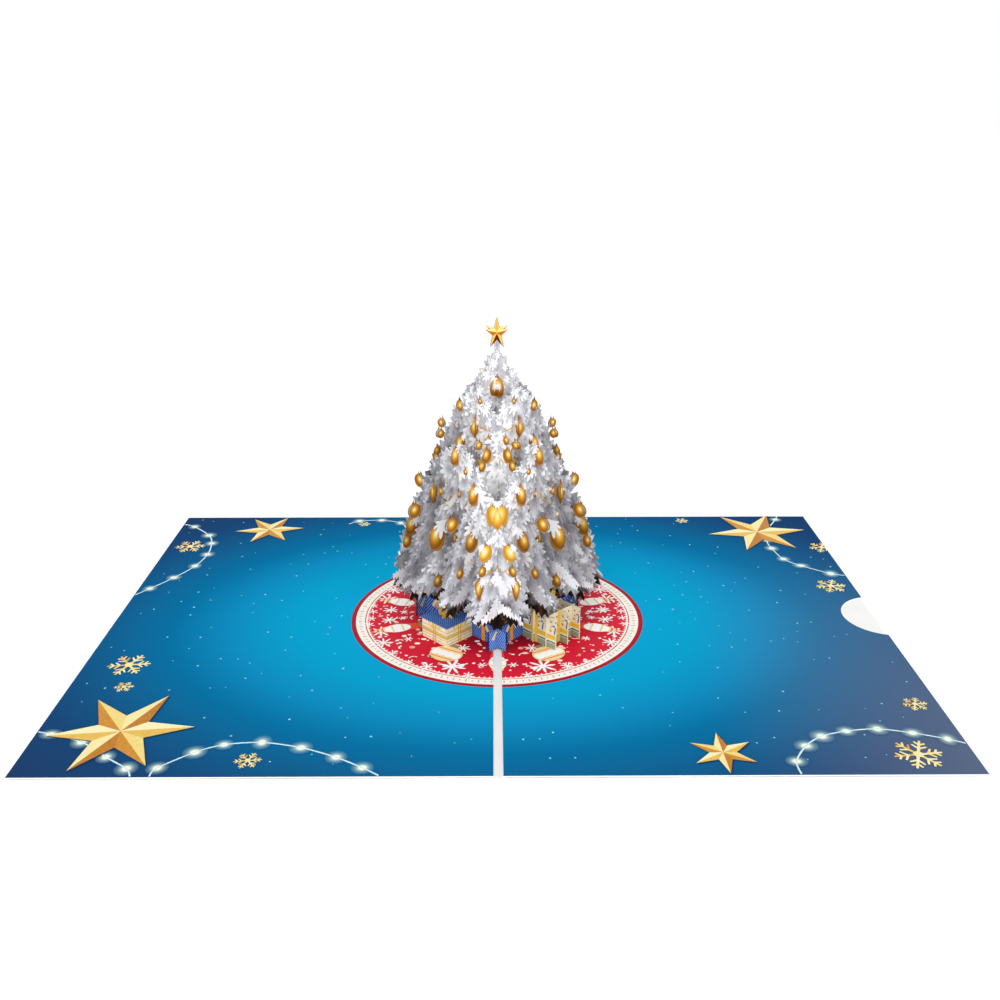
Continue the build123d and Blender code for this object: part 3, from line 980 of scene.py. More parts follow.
def sprig_ink():
    """White fir needles as print: grey at the sprig's root, bright at its tips, with slanting needles."""
    material, tree, shader = new_material("white_fir_sprig_print", 0.65)
    spot = put(tree, "SeparateXYZ", (put(tree, "UVMap", uv_map="print"),)).outputs
    aside = put(tree, "Math", (spot["X"], 0.5), operation="SUBTRACT")
    aside = put(tree, "Math", (aside,), operation="ABSOLUTE")
    slant = put(tree, "Math", (aside, -1.1, spot["Y"]), operation="MULTIPLY_ADD")
    # Needles 0.8 mm apart on a sprig of 9.5 mm: coarser than the print's own, so that they show.
    wave = put(tree, "Math", (slant, 2 * math.pi * 12), operation="MULTIPLY")
    wave = put(tree, "Math", (wave,), operation="SINE")
    reach = put(tree, "Math", (spot["Y"], spot["Y"]), operation="MULTIPLY")
    reach = put(tree, "Math", (aside, aside, reach), operation="MULTIPLY_ADD")
    reach = put(tree, "Math", (reach,), operation="SQRT")
    opened = put(tree, "MapRange", (reach, 0.0, 0.5, 0.36, 1.0))
    tone = put(tree, "Attribute", attribute_name="tone").outputs["Fac"]
    lit = put(tree, "Math", (tone, opened), operation="MULTIPLY")
    patch = put(tree, "TexNoise", {"Vector": millimetres(tree), "Scale": 0.55, "Detail": 3.0})
    patch = put(tree, "Math", (patch, 0.5), operation="SUBTRACT")
    clouded = put(tree, "Math", (patch, 0.35, lit), operation="MULTIPLY_ADD")
    needled = put(tree, "Math", (wave, 0.05, clouded), operation="MULTIPLY_ADD")
    greys = [(0.0, "#58575C"), (0.2, "#838287"), (0.45, "#B1B0B5"), (0.7, "#DFDFE3"), (0.95, "#F9F9FB")]
    ramp = put(tree, "ValToRGB", (needled,), greys)
    tree.links.new(ramp.outputs[0], shader.inputs["Base Color"])
    return material


def plume_outline(length, width, barbs=6):
    """A long feathery sprig from its root to its tip, with slanting barbs on both sides."""
    right = []
    for barb in range(barbs):
        share = (barb + 0.5) / barbs
        reach = width / 2 * math.sin(math.pi * (0.14 + 0.76 * share)) ** 0.7
        right.append((reach * 0.5, length * (share - 0.4 / barbs)))
        right.append((reach, length * (share + 0.42 / barbs)))
    left = [(-u, v) for u, v in reversed(right)]
    return [(0.0, -0.04 * length), *right, (0.0, length), *left]


def fan_outline(length):
    """A broad sprig whose blunt lobes spread round its root like the fingers of a hand."""
    reaches = (0.5, 0.66, 0.88, 1.0, 0.84, 0.7, 0.46)
    outline = []
    for lobe, reach in enumerate(reaches):
        middle = 90 + (lobe - 3) * 33
        for turn, share in ((-8, 0.86), (1, 1.0), (9, 0.82), (17, 0.55)):
            angle = math.radians(middle + turn)
            far = length * reach * share
            outline.append((far * math.cos(angle), far * math.sin(angle)))
    return outline


def sprig_tree(sprig_print):
    """Covers upright sheets with sprigs that hang down in the middle and fan outwards."""
    shape = ("Spacing", "Length", "Height", "Waist", "Reach", "Taper", "Undercut", "Highest")
    hems = ("Middle Hem", "Outer Hem", "Hem Slope")
    sockets = {"Fan": "Object", "Plume": "Object", "Axis": "Vector", "Seed": "Int"}
    tree, given, end = new_tree("fir_sprigs", {**sockets, **dict.fromkeys(shape + hems, "Float")})

    def chance(low, high, shift):
        """A number of its own for each sprig."""
        seed = put(tree, "Math", (given["Seed"], float(shift)), operation="ADD")
        limits = {"Min": low, "Max": high, "Seed": seed}
        return put(tree, "FunctionNodeRandomValue", limits, data_type="FLOAT")

    scattered = {
        "Mesh": given["Geometry"],
        "Distance Min": given["Spacing"],
        "Density Max": 400000.0,
        "Seed": given["Seed"],
    }
    spread = put(tree, "GeometryNodeDistributePointsOnFaces", scattered, distribute_method="POISSON")
    normal = spread.outputs["Normal"]
    place = put(tree, "GeometryNodeInputPosition")
    away = put(tree, "VectorMath", (place, given["Axis"]), operation="SUBTRACT")
    sideways = put(tree, "VectorMath", ((0, 0, 1), normal), operation="CROSS_PRODUCT")
    along = put(tree, "VectorMath", (away, sideways), operation="DOT_PRODUCT")
    line = put(tree, "VectorMath", (away, normal), operation="DOT_PRODUCT")
    line = put(tree, "Math", (line,), operation="ABSOLUTE")
    parts = put(tree, "SeparateXYZ", (away,)).outputs
    height = parts["Z"]
    across = put(tree, "Math", (parts["X"],), operation="ABSOLUTE")
    far = put(tree, "Math", (along,), operation="ABSOLUTE")

    # How far the tree's outline is from the axis at this height, and along this sheet.
    left = put(tree, "Math", (given["Height"], height), operation="SUBTRACT")
    left = put(tree, "Math", (left, 0.0), operation="MAXIMUM")
    share = put(tree, "Math", (given["Height"], given["Waist"]), operation="SUBTRACT")
    share = put(tree, "Math", (left, share), operation="DIVIDE")
    share = put(tree, "Math", (share, 1.0), operation="MINIMUM")
    share = put(tree, "Math", (share, given["Taper"]), operation="POWER")
    under = put(tree, "Math", (given["Waist"], height), operation="SUBTRACT")
    under = put(tree, "Math", (under, 0.0), operation="MAXIMUM")
    under = put(tree, "Math", (given["Undercut"], under), operation="MULTIPLY")
    reach = put(tree, "Math", (given["Reach"], share), operation="MULTIPLY")
    reach = put(tree, "Math", (reach, under), operation="SUBTRACT")
    reach = put(tree, "Math", (reach, reach), operation="MULTIPLY")
    squared = put(tree, "Math", (line, line), operation="MULTIPLY")
    squared = put(tree, "Math", (reach, squared), operation="SUBTRACT")
    squared = put(tree, "Math", (squared, 0.0), operation="MAXIMUM")
    room = put(tree, "Math", (squared,), operation="SQRT")
    room = put(tree, "Math", (room, far), operation="SUBTRACT")

    # Sprigs are smaller near the outline and higher up.
    fit = put(tree, "MapRange", (room, 0.0, 6.0 * MM, 0.6, 1.0))
    smaller_up = put(tree, "MapRange", (height, 20 * MM, 88 * MM, 1.0, 0.62))
    scale = put(tree, "Math", (chance(0.72, 1.1, 1), fit), operation="MULTIPLY")
    scale = put(tree, "Math", (scale, smaller_up), operation="MULTIPLY")
    # Sprigs hang down in the middle and point outwards at the outline.
    inside = put(tree, "Math", (room, 0.0), operation="MAXIMUM")
    whole = put(tree, "Math", (far, inside), operation="ADD")
    whole = put(tree, "Math", (whole, 0.5 * MM), operation="ADD")
    outer_share = put(tree, "Math", (far, whole), operation="DIVIDE")
    side = put(tree, "Math", (along,), operation="SIGN")
    lean = put(tree, "Math", (side, outer_share), operation="MULTIPLY")
    lean = put(tree, "Math", (lean, 1.45), operation="MULTIPLY")
    angle = put(tree, "Math", (lean, chance(-0.42, 0.42, 2)), operation="ADD")
    sine = put(tree, "Math", (angle,), operation="SINE")
    cosine = put(tree, "Math", (angle,), operation="COSINE")
    outward = put(tree, "VectorMath", {0: sideways, "Scale": sine}, operation="SCALE")
    falling = put(tree, "Math", (cosine, -1.0), operation="MULTIPLY")
    downward = put(tree, "CombineXYZ", {"Z": falling})
    way = put(tree, "VectorMath", (outward, downward), operation="ADD")
    axes = {"Primary Axis": normal, "Secondary Axis": way}
    rotation = put(tree, "FunctionNodeAxesToRotation", axes, primary_axis="Z", secondary_axis="Y")

    # Each sprig is shifted so that it keeps above the hem, under the star and within the outline.
    half = put(tree, "Math", (scale, given["Length"]), operation="MULTIPLY")
    half = put(tree, "Math", (half, 0.5), operation="MULTIPLY")
    half_drop = put(tree, "Math", (half, cosine), operation="MULTIPLY")
    slope = put(tree, "Math", (line, given["Hem Slope"]), operation="MULTIPLY")
    hem = put(tree, "Math", (given["Middle Hem"], slope), operation="SUBTRACT")
    hem = put(tree, "Math", (hem, given["Outer Hem"]), operation="MAXIMUM")
    wing = put(tree, "Math", (far, 18 * MM), operation="SUBTRACT")
    wing = put(tree, "Math", (wing, 0.0), operation="MAXIMUM")
    lowest = put(tree, "Math", (hem, chance(-0.4 * MM, 2.9 * MM, 3)), operation="ADD")
    lowest = put(tree, "Math", (wing, 0.16, lowest), operation="MULTIPLY_ADD")
    foot = put(tree, "Math", (height, half_drop), operation="SUBTRACT")
    raised = put(tree, "Math", (lowest, foot), operation="SUBTRACT")
    raised = put(tree, "Math", (raised, 0.0), operation="MAXIMUM")
    head = put(tree, "Math", (height, half_drop), operation="ADD")
    sunk = put(tree, "Math", (head, given["Highest"]), operation="SUBTRACT")
    sunk = put(tree, "Math", (sunk, 0.0), operation="MAXIMUM")
    rise = put(tree, "Math", (raised, sunk), operation="SUBTRACT")
    half_width = put(tree, "Math", (half, 0.3), operation="MULTIPLY")
    half_side = put(tree, "Math", (sine,), operation="ABSOLUTE")
    half_side = put(tree, "Math", (half_side, half, half_width), operation="MULTIPLY_ADD")
    over = put(tree, "Math", (half_side, room), operation="SUBTRACT")
    over = put(tree, "Math", (over, 1.9 * MM), operation="SUBTRACT")
    over = put(tree, "Math", (over, 0.0), operation="MAXIMUM")
    other_side = put(tree, "Math", (side, -1.0), operation="MULTIPLY")
    inward = put(tree, "Math", (over, other_side), operation="MULTIPLY")
    inward = put(tree, "VectorMath", {0: sideways, "Scale": inward}, operation="SCALE")

    # Upper sprigs lie over lower ones, as branches do.
    lifted = put(tree, "MapRange", (height, 0.0, 95 * MM, 0.02 * MM, 0.26 * MM))
    lifted = put(tree, "Math", (lifted, chance(0.0, 0.05 * MM, 4)), operation="ADD")
    lifted = put(tree, "VectorMath", {0: normal, "Scale": lifted}, operation="SCALE")
    back = put(tree, "Math", (half, -1.0), operation="MULTIPLY")
    back = put(tree, "VectorMath", {0: way, "Scale": back}, operation="SCALE")
    moved = put(tree, "VectorMath", (lifted, back), operation="ADD")
    moved = put(tree, "VectorMath", (moved, inward), operation="ADD")
    upward = put(tree, "CombineXYZ", {"Z": rise})
    moved = put(tree, "VectorMath", (moved, upward), operation="ADD")

    # Clumps about 8 mm across, so that branches read as soft masses.
    clump = put(tree, "TexNoise", {"Vector": place, "Scale": 125.0, "Detail": 1.0})
    clump = put(tree, "MapRange", (clump, 0.38, 0.6, 0.0, 0.5))
    # A bright column runs up the middle, strongest above half height.
    in_middle = put(tree, "MapRange", (across, 3 * MM, 14 * MM, 1.0, 0.0))
    column = put(tree, "MapRange", (height, 26 * MM, 48 * MM, 0.2, 0.64))
    column = put(tree, "Math", (in_middle, column), operation="MULTIPLY")
    tone = put(tree, "Math", (clump, column), operation="ADD")
    # Whiter in the middle of the tree and greyer at its sides.
    middle = put(tree, "MapRange", (across, 0.0, 30 * MM, 0.3, 0.0))
    tone = put(tree, "Math", (middle, tone), operation="ADD")
    luck = chance(0.0, 1.0, 5)
    luck = put(tree, "Math", (luck, luck), operation="MULTIPLY")
    tone = put(tree, "Math", (luck, 0.2, tone), operation="MULTIPLY_ADD")
    # Lighter towards the top, at the lowest branches, and most at their outer ends.
    upper = put(tree, "MapRange", (height, 20 * MM, 88 * MM, 0.0, 0.3))
    lower = put(tree, "MapRange", (height, 14 * MM, 30 * MM, 0.25, 0.0))
    outer = put(tree, "MapRange", (across, 12 * MM, 24 * MM, 0.0, 0.3))
    low = put(tree, "MapRange", (height, 18 * MM, 34 * MM, 1.0, 0.0))
    low_side = put(tree, "Math", (outer, low), operation="MULTIPLY")
    for term in (upper, lower, low_side):
        tone = put(tree, "Math", (tone, term), operation="ADD")

    points = spread.outputs["Points"]
    for name, kind, value in (("shift", "FLOAT_VECTOR", moved), ("tone", "FLOAT", tone)):
        stored = {"Geometry": points, "Name": name, "Value": value}
        points = put(tree, "GeometryNodeStoreNamedAttribute", stored, data_type=kind, domain="POINT")
    kinds = put(tree, "GeometryNodeJoinGeometry")
    for label in ("Plume", "Fan"):
        source = put(tree, "GeometryNodeObjectInfo", {"Object": given[label], "As Instance": True})
        tree.links.new(source.outputs["Geometry"], kinds.inputs[0])
    edge = put(tree, "Math", (hem, 0.3 * MM), operation="SUBTRACT")
    above = put(tree, "Math", (height, edge), operation="GREATER_THAN")
    below = put(tree, "Math", (height, given["Highest"]), operation="LESS_THAN")
    is_in_band = put(tree, "Math", (above, below), operation="MULTIPLY")
    # Which of the two kinds each sprig is: the mix changes with height.
    mix = put(tree, "MapRange", (height, 15 * MM, 45 * MM, 0.25, 0.9))
    picked = put(tree, "Math", (chance(0.0, 1.0, 6), mix), operation="GREATER_THAN")
    set_out = {
        "Points": points,
        "Selection": is_in_band,
        "Instance": kinds,
        "Pick Instance": True,
        "Instance Index": picked,
        "Rotation": rotation,
        "Scale": scale,
    }
    planted = put(tree, "GeometryNodeInstanceOnPoints", set_out)
    shift = put(tree, "GeometryNodeInputNamedAttribute", {"Name": "shift"}, data_type="FLOAT_VECTOR")
    carried = {"Instances": planted, "Translation": shift, "Local Space": False}
    shifted = put(tree, "GeometryNodeTranslateInstances", carried)
    real = put(tree, "GeometryNodeRealizeInstances", {"Geometry": shifted})
    plain = put(tree, "GeometryNodeRemoveAttribute", {"Geometry": real, "Name": "shift"})
    inked = put(tree, "GeometryNodeSetMaterial", {"Geometry": plain, "Material": sprig_print})
    tree.links.new(inked.outputs[0], end.inputs[0])
    return tree


class CARD_OT_fir(bpy.types.Operator):
    """Prints the tree's sheets and covers both sides of each with fir sprigs"""

    bl_idname = "card.fir"
    bl_label = "Fir"

    def execute(self, context):
        sizes = context.scene.card_sizes
        base = fir_base()
        for name, node in NODES.items():
            if name.startswith("tree_slice"):
                dress(node, base)
        length = sizes.sprig / MM
        width = length * 0.5

        def spread(u, v):
            """The print's map: across and along the sprig."""
            return 0.5 + u / length, v / length

        tree = sprig_tree(sprig_ink())
        values = {
            "Fan": template("fan", fan_outline(length * 0.74), spread, 0.02),
            "Plume": template("plume", plume_outline(length, width), spread, 0.02),
            "Spacing": sizes.spacing,
            "Length": sizes.sprig,
            "Axis": (0.0, TREE_SHIFT * MM, CARD_TOP * MM),
            "Height": 90.5 * MM,
            "Waist": 18 * MM,
            "Reach": 34.6 * MM,
            "Taper": 0.76,
            "Undercut": 0.45,
            "Highest": 91.5 * MM,
            "Middle Hem": 18 * MM,
            "Outer Hem": 11 * MM,
            "Hem Slope": 3.5 / BAY,
        }
        for order, (family, side, label) in enumerate(TREE_FACES):
            name = f"fir_sprigs_{family}_{label}"
            face = sheet_face(name, family, side)
            grow(name, face, tree, {**values, "Seed": 41 + order})
        return {"FINISHED"}


def sprig_lift(height):
    """How far sprigs lie off their sheet at a height, as the sprigs' own rule has it."""
    return 0.02 + 0.24 * max(height, 0) / 95


def bauble(film, sheet, along, height, radius, tall=1.1, over=0, kind="globe"):
    """A printed gold bauble with its cap: among the sprigs, or over them."""
    layer = (sprig_lift(height + 45 * over) + 0.04 + 0.07 * over) / INK_STEP
    if kind in ORNAMENT_SHARES:
        outline = [(along + radius * u, height + radius * tall * v) for u, v in ORNAMENT_SHARES[kind]]
    else:
        outline = circle(along, height, radius, 24, tall)
    spot = radial(along, height, radius, (-0.2, 0.28), tall)
    film.lay(sheet, outline, layer=layer, ink=3 if kind == "bright" else 0, spot=spot)
    if kind == "drop":
        half = radius * tall * 0.62
        middle = bar((along, height + half), (along, height - half), radius * 0.2, radius * 0.1)
        film.lay(sheet, middle, layer=layer + 0.3, ink=1, tone=0.15)
    top = height + radius * tall
    neck = max(radius * 0.24, 0.25)
    cap = [
        (along - neck, top - 0.15),
        (along + neck, top - 0.15),
        (along + neck, top + 0.4),
        (along - neck, top + 0.4),
    ]
    film.lay(sheet, cap, layer=layer + 0.6, ink=1, tone=0.35)
    hook = bar((along, top + 0.3), (along + 0.15, top + 1.0), 0.24)
    film.lay(sheet, hook, layer=layer + 0.7, ink=1, tone=0.1)


# Outlines of the long ornaments, as shares of their half width and half height.
ORNAMENT_SHARES = {
    "drop": (
        (0.0, 1.0), (-0.3, 0.75), (-0.9, 0.35), (-1.0, 0.1), (-0.8, -0.2), (-0.3, -0.6),
        (0.0, -1.0), (0.3, -0.6), (0.8, -0.2), (1.0, 0.1), (0.9, 0.35), (0.3, 0.75),
    ),
    "cone": (
        (0.0, 1.0), (-0.7, 0.85), (-1.0, 0.6), (-0.75, -0.1), (-0.2, -0.9),
        (0.0, -1.0), (0.2, -0.9), (0.75, -0.1), (1.0, 0.6), (0.7, 0.85),
    ),
}


# The ornaments of one face: the slice, counted from the middle one towards the back, the place
# along it, height, half width, how tall for its width, 1 if it lies over the sprigs, and kind.
BAUBLES = (
    (0, -0.6, 78.6, 2.9, 1.15, 0, "globe"),
    (-1, -1.6, 76.0, 0.8, 1.1, 1, "globe"),
    (-1, 7.6, 72.7, 1.5, 1.1, 1, "globe"),
    (0, -10.1, 67.3, 2.2, 1.55, 1, "drop"),
    (-1, -12.6, 65.8, 1.2, 1.2, 0, "globe"),
    (0, -16.4, 64.0, 2.1, 1.1, 1, "globe"),
    (0, -18.2, 60.2, 2.3, 1.3, 1, "globe"),
    (-1, -13.4, 61.2, 1.9, 1.2, 1, "globe"),
    (-1, -15.4, 58.2, 1.5, 1.1, 1, "globe"),
    (-2, -3.7, 55.7, 0.9, 1.1, 1, "globe"),
    (1, -20.2, 46.2, 1.7, 2.3, 1, "drop"),
    (2, -10.8, 56.2, 1.6, 1.1, 1, "globe"),
    (-1, -1.1, 56.2, 1.4, 1.0, 1, "bright"),
    (-2, 8.0, 46.2, 1.7, 1.0, 1, "globe"),
    (-2, -0.6, 47.6, 1.0, 1.1, 1, "globe"),
    (-1, -19.0, 49.8, 2.2, 1.55, 1, "globe"),
    (-2, -16.0, 44.0, 3.3, 1.2, 1, "bright"),
    (2, -22.4, 33.6, 2.6, 1.3, 1, "globe"),
    (2, -24.6, 28.6, 1.8, 1.2, 1, "globe"),
    (0, -26.7, 35.8, 3.3, 1.35, 1, "globe"),
    (0, -18.9, 32.8, 1.6, 1.9, 1, "drop"),
    (-1, -20.1, 34.6, 2.6, 1.3, 1, "globe"),
    (-2, -22.4, 34.2, 2.7, 1.0, 1, "bright"),
    (0, -26.7, 20.8, 1.9, 1.1, 1, "globe"),
    (-2, -25.2, 22.8, 1.9, 2.0, 1, "cone"),
    (-2, -23.8, 28.6, 1.6, 1.1, 1, "globe"),
    (-1, -25.2, 25.6, 1.5, 1.2, 1, "globe"),
    (-2, 20.5, 30.0, 1.7, 1.1, 0, "globe"),
    (-1, 21.5, 33.5, 1.9, 1.1, 0, "globe"),
    (-1, 12.5, 60.5, 1.2, 1.1, 1, "globe"),
    (0, 24.5, 37.0, 2.3, 1.2, 1, "globe"),
    (0, 13.5, 66.0, 1.2, 1.1, 0, "globe"),
    (1, 20.5, 46.5, 1.8, 1.1, 0, "globe"),
    (1, 23.0, 26.0, 1.5, 1.1, 1, "globe"),
    (2, 20.5, 33.0, 1.9, 1.1, 0, "globe"),
    (2, 12.0, 45.0, 1.2, 1.1, 1, "globe"),
)
# Where the slices beside the middle one carry baubles past their edges: place, height, radius.
EDGE_BAUBLES = ((16.6, 65.2, 1.4), (28.0, 42.6, 2.3))
# White sprigs that half hide some ornaments: slice, place, height, length, and lean in degrees.
COVERING_SPRIGS = (
    (0, -1.4, 79.6, 2.0, -15),
    (0, 1.9, 78.9, 1.8, 20),
    (0, -24.9, 40.4, 5.6, -6),
    (-1, -18.7, 38.6, 3.6, 10),
    (0, -9.0, 69.6, 1.6, -20),
    (-1, -17.6, 52.0, 2.4, -25),
    (-2, -17.0, 49.6, 2.2, 0),
    (-2, -24.6, 37.4, 2.2, 20),
    (0, -16.6, 63.6, 2.8, -25),
    (2, -20.8, 36.0, 3.2, 0),
    (0, -15.4, 66.2, 1.8, 10),
    (0, 23.2, 39.2, 2.2, 20),
    (-2, -24.0, 26.0, 2.6, -10),
)
# Thin gold garlands: slice, both ends' places and heights, and how far they sag.
GARLANDS = (
    (-2, -24.5, 29.5, -20.8, 28.2, 1.8),
    (-2, -20.8, 28.2, -17.2, 28.8, 1.6),
    (-1, -6.0, 67.6, -1.4, 68.4, 0.5),
    (-1, -14.5, 59.6, -9.6, 60.0, 0.9),
    (-2, 2.0, 52.5, 7.0, 51.0, 1.0),
    (0, -24.0, 47.0, -19.0, 48.5, 1.0),
    (1, -18.0, 38.0, -12.0, 38.5, 1.4),
)


class CARD_OT_baubles(bpy.types.Operator):
    """Prints the gold baubles, drops, cones and garlands on the tree's sheets"""

    bl_idname = "card.baubles"
    bl_label = "Baubles"

    def execute(self, context):
        film = Film()
        for family in "ab":
            # From behind, the slices and their prints follow in the same order as from the front.
            for side, hand in ((-1, 1), (1, -1)):
                for row, along, height, radius, tall, over, kind in BAUBLES:
                    sheet = on_plane(family, hand * row * BAY, side)
                    bauble(film, sheet, hand * along, height, radius, tall, over, kind)
                for row, along, height, length, lean in COVERING_SPRIGS:
                    sheet = on_plane(family, hand * row * BAY, side)
                    self.covering_sprig(film, sheet, hand * along, height, length, hand * lean)
                for row, start, high, end, low, sag in GARLANDS:
                    sheet = on_plane(family, hand * row * BAY, side)
                    self.garland(film, sheet, (hand * start, high), (hand * end, low), sag)
                for row in (-1, 1):
                    sheet = on_plane(family, row * BAY, side)
                    for along, height, radius in EDGE_BAUBLES:
                        for end in (-1, 1):
                            bauble(film, sheet, end * along, height, radius, tall=1.0, over=1)
        gold = round_ink("gold_bauble_print", BAUBLE_STOPS, 0.4)
        cap = ink("gold_cap_ink", [(0.0, "#3A1E06"), (0.3, "#A8650F"), (1.0, "#F3C866")], grain=0.3)
        bright = round_ink("bright_gold_bauble_print", BRIGHT_STOPS, 0.4)
        film.piece("printed_baubles", [gold, cap, sprig_ink(), bright], "gold_print")
        return {"FINISHED"}

    def covering_sprig(self, film, sheet, along, height, length, lean):
        """A small white sprig that hangs over an ornament."""
        lean = math.radians(lean - 90)

        def spot(u, v):
            """The outer half of the other sprigs' map: across the sprig and along it."""
            ahead, aside = turned((0, 0), -lean, [(u - along, v - height)])[0]
            return 0.5 + aside / 9.5, 0.5 + ahead / 9.5

        shape = [(v, -u) for u, v in fan_outline(length)]
        layer = (sprig_lift(height + 45) + 0.24) / INK_STEP
        film.lay(sheet, turned((along, height), lean, shape), layer=layer, ink=2, tone=1.0, spot=spot)

    def garland(self, film, sheet, start, end, sag):
        """A thin gold string that sags between two places."""
        steps = 5
        points = []
        for step in range(steps + 1):
            share = step / steps
            along = start[0] + (end[0] - start[0]) * share
            height = start[1] + (end[1] - start[1]) * share - 4 * sag * share * (1 - share)
            points.append((along, height))
        layer = (sprig_lift(start[1] + 45) + 0.1) / INK_STEP
        for here, there in zip(points, points[1:]):
            film.lay(sheet, bar(here, there, 0.32), layer=layer, ink=1, tone=0.75)


class CARD_OT_tree_lights(bpy.types.Operator):
    """Scatters the tiny cream lights over the fir"""

    bl_idname = "card.tree_lights"
    bl_label = "Tree lights"

    def execute(self, context):
        glow = round_ink(
            "cream_light_print",
            [(0.0, "#FFFFFF"), (0.4, "#FFF3CF"), (0.75, "#F6DDA6"), (1.0, "#DDBB8B")],
        )
        dot = template("tree_light", circle(0, 0, 0.48, 10), radial(0, 0, 0.48), 0.42)
        tree = dots_tree(glow)
        values = {"Dot": dot, "Spacing": 6.0 * MM, "Density": 11000.0, "Least": 0.6, "Most": 1.1}
        for order, (family, side, label) in enumerate(TREE_FACES):
            name = f"tree_lights_{family}_{label}"
            face = sheet_face(name, family, side)
            grow(name, face, tree, {**values, "Seed": 71 + order})
        return {"FINISHED"}


class CARD_OT_top_star(bpy.types.Operator):
    """Prints the facets of the gold star at the tree's top"""

    bl_idname = "card.top_star"
    bl_label = "Top star"

    def execute(self, context):
        film = Film()
        radius, centre = 4.95, 95.7
        # Tones of each arm's two halves, from the top arm anticlockwise.
        tones = ((0.66, 1.0), (0.3, 0.98), (0.0, 0.72), (0.84, 0.06), (1.0, 0.36))
        for family in "ab":
            for side in (-1, 1):
                sheet = on_plane(family, 0, side)
                ring = []
                for point in range(10):
                    turn = math.radians(90 + 36 * point)
                    long = radius * (1 if point % 2 == 0 else 0.4)
                    ring.append((long * math.cos(turn), centre + long * math.sin(turn)))
                for arm in range(5):
                    tip = ring[2 * arm]
                    before, after = ring[(2 * arm - 1) % 10], ring[(2 * arm + 1) % 10]
                    film.lay(sheet, [(0, centre), tip, after], layer=1, tone=tones[arm][0])
                    film.lay(sheet, [(0, centre), before, tip], layer=1, tone=tones[arm][1])
        gold = ink(
            "gold_top_star_ink",
            [(0.0, "#6A2208"), (0.3, "#BE7412"), (0.6, "#F0B42C"), (1.0, "#FFEFA0")],
            roughness=0.35,
            grain=0.2,
        )
        film.piece("top_star_facets", [gold], "gold_print")
        return {"FINISHED"}


def gift_paper(name, low, high, dots=None, above=None):
    """Gift wrap printed on card: a mottled ground, with pale dots or a second colour above a height."""
    material, tree, shader = new_material(name, 0.5, 0.2)
    where = millimetres(tree)
    cloud = put(tree, "TexNoise", {"Vector": where, "Scale": 0.8, "Detail": 3.0})
    colour = put(tree, "ValToRGB", (cloud,), [(0.3, low), (0.7, high)])
    if dots:
        # Dots 0.9 mm apart along both of the pop-up's own directions.
        turn = {"Vector": where, "Rotation": (0, 0, math.radians(-45))}
        along = put(tree, "Mapping", turn, vector_type="POINT")
        phases = put(tree, "VectorMath", {0: along, "Scale": 2 * math.pi / 0.9}, operation="SCALE")
        waves = put(tree, "VectorMath", (phases,), operation="SINE")
        parts = put(tree, "SeparateXYZ", (waves,)).outputs
        both = put(tree, "Math", (parts["X"], parts["Y"]), operation="MULTIPLY")
        spots = put(tree, "Math", (both, 0.45), operation="GREATER_THAN")
        colour = put(tree, "Mix", {"Factor": spots, "A": colour, "B": linear(dots)}, data_type="RGBA")
    if above:
        height, upper_low, upper_high = above
        upper = put(tree, "ValToRGB", (cloud,), [(0.3, upper_low), (0.7, upper_high)])
        parts = put(tree, "SeparateXYZ", (where,)).outputs
        is_above = put(tree, "Math", (parts["Z"], CARD_TOP + height), operation="GREATER_THAN")
        colour = put(tree, "Mix", {"Factor": is_above, "A": colour, "B": upper}, data_type="RGBA")
    # The chain ends in a ramp or in a mix node; each has one output in use.
    visible = next(output for output in colour.outputs if output.enabled)
    tree.links.new(visible, shader.inputs["Base Color"])
    add_fibre(tree, shader, where)
    return material


def span(name):
    """A node's reach along both grid directions and its height, in millimetres."""
    places = [v.co / MM for v in NODES[name].data.vertices]
    along_a = [(p.x + p.y - TREE_SHIFT) * DIAGONAL for p in places]
    along_b = [(p.y - TREE_SHIFT - p.x) * DIAGONAL for p in places]
    heights = [p.z - CARD_TOP for p in places]
    return (min(along_a), max(along_a)), (min(along_b), max(along_b)), (min(heights), max(heights))


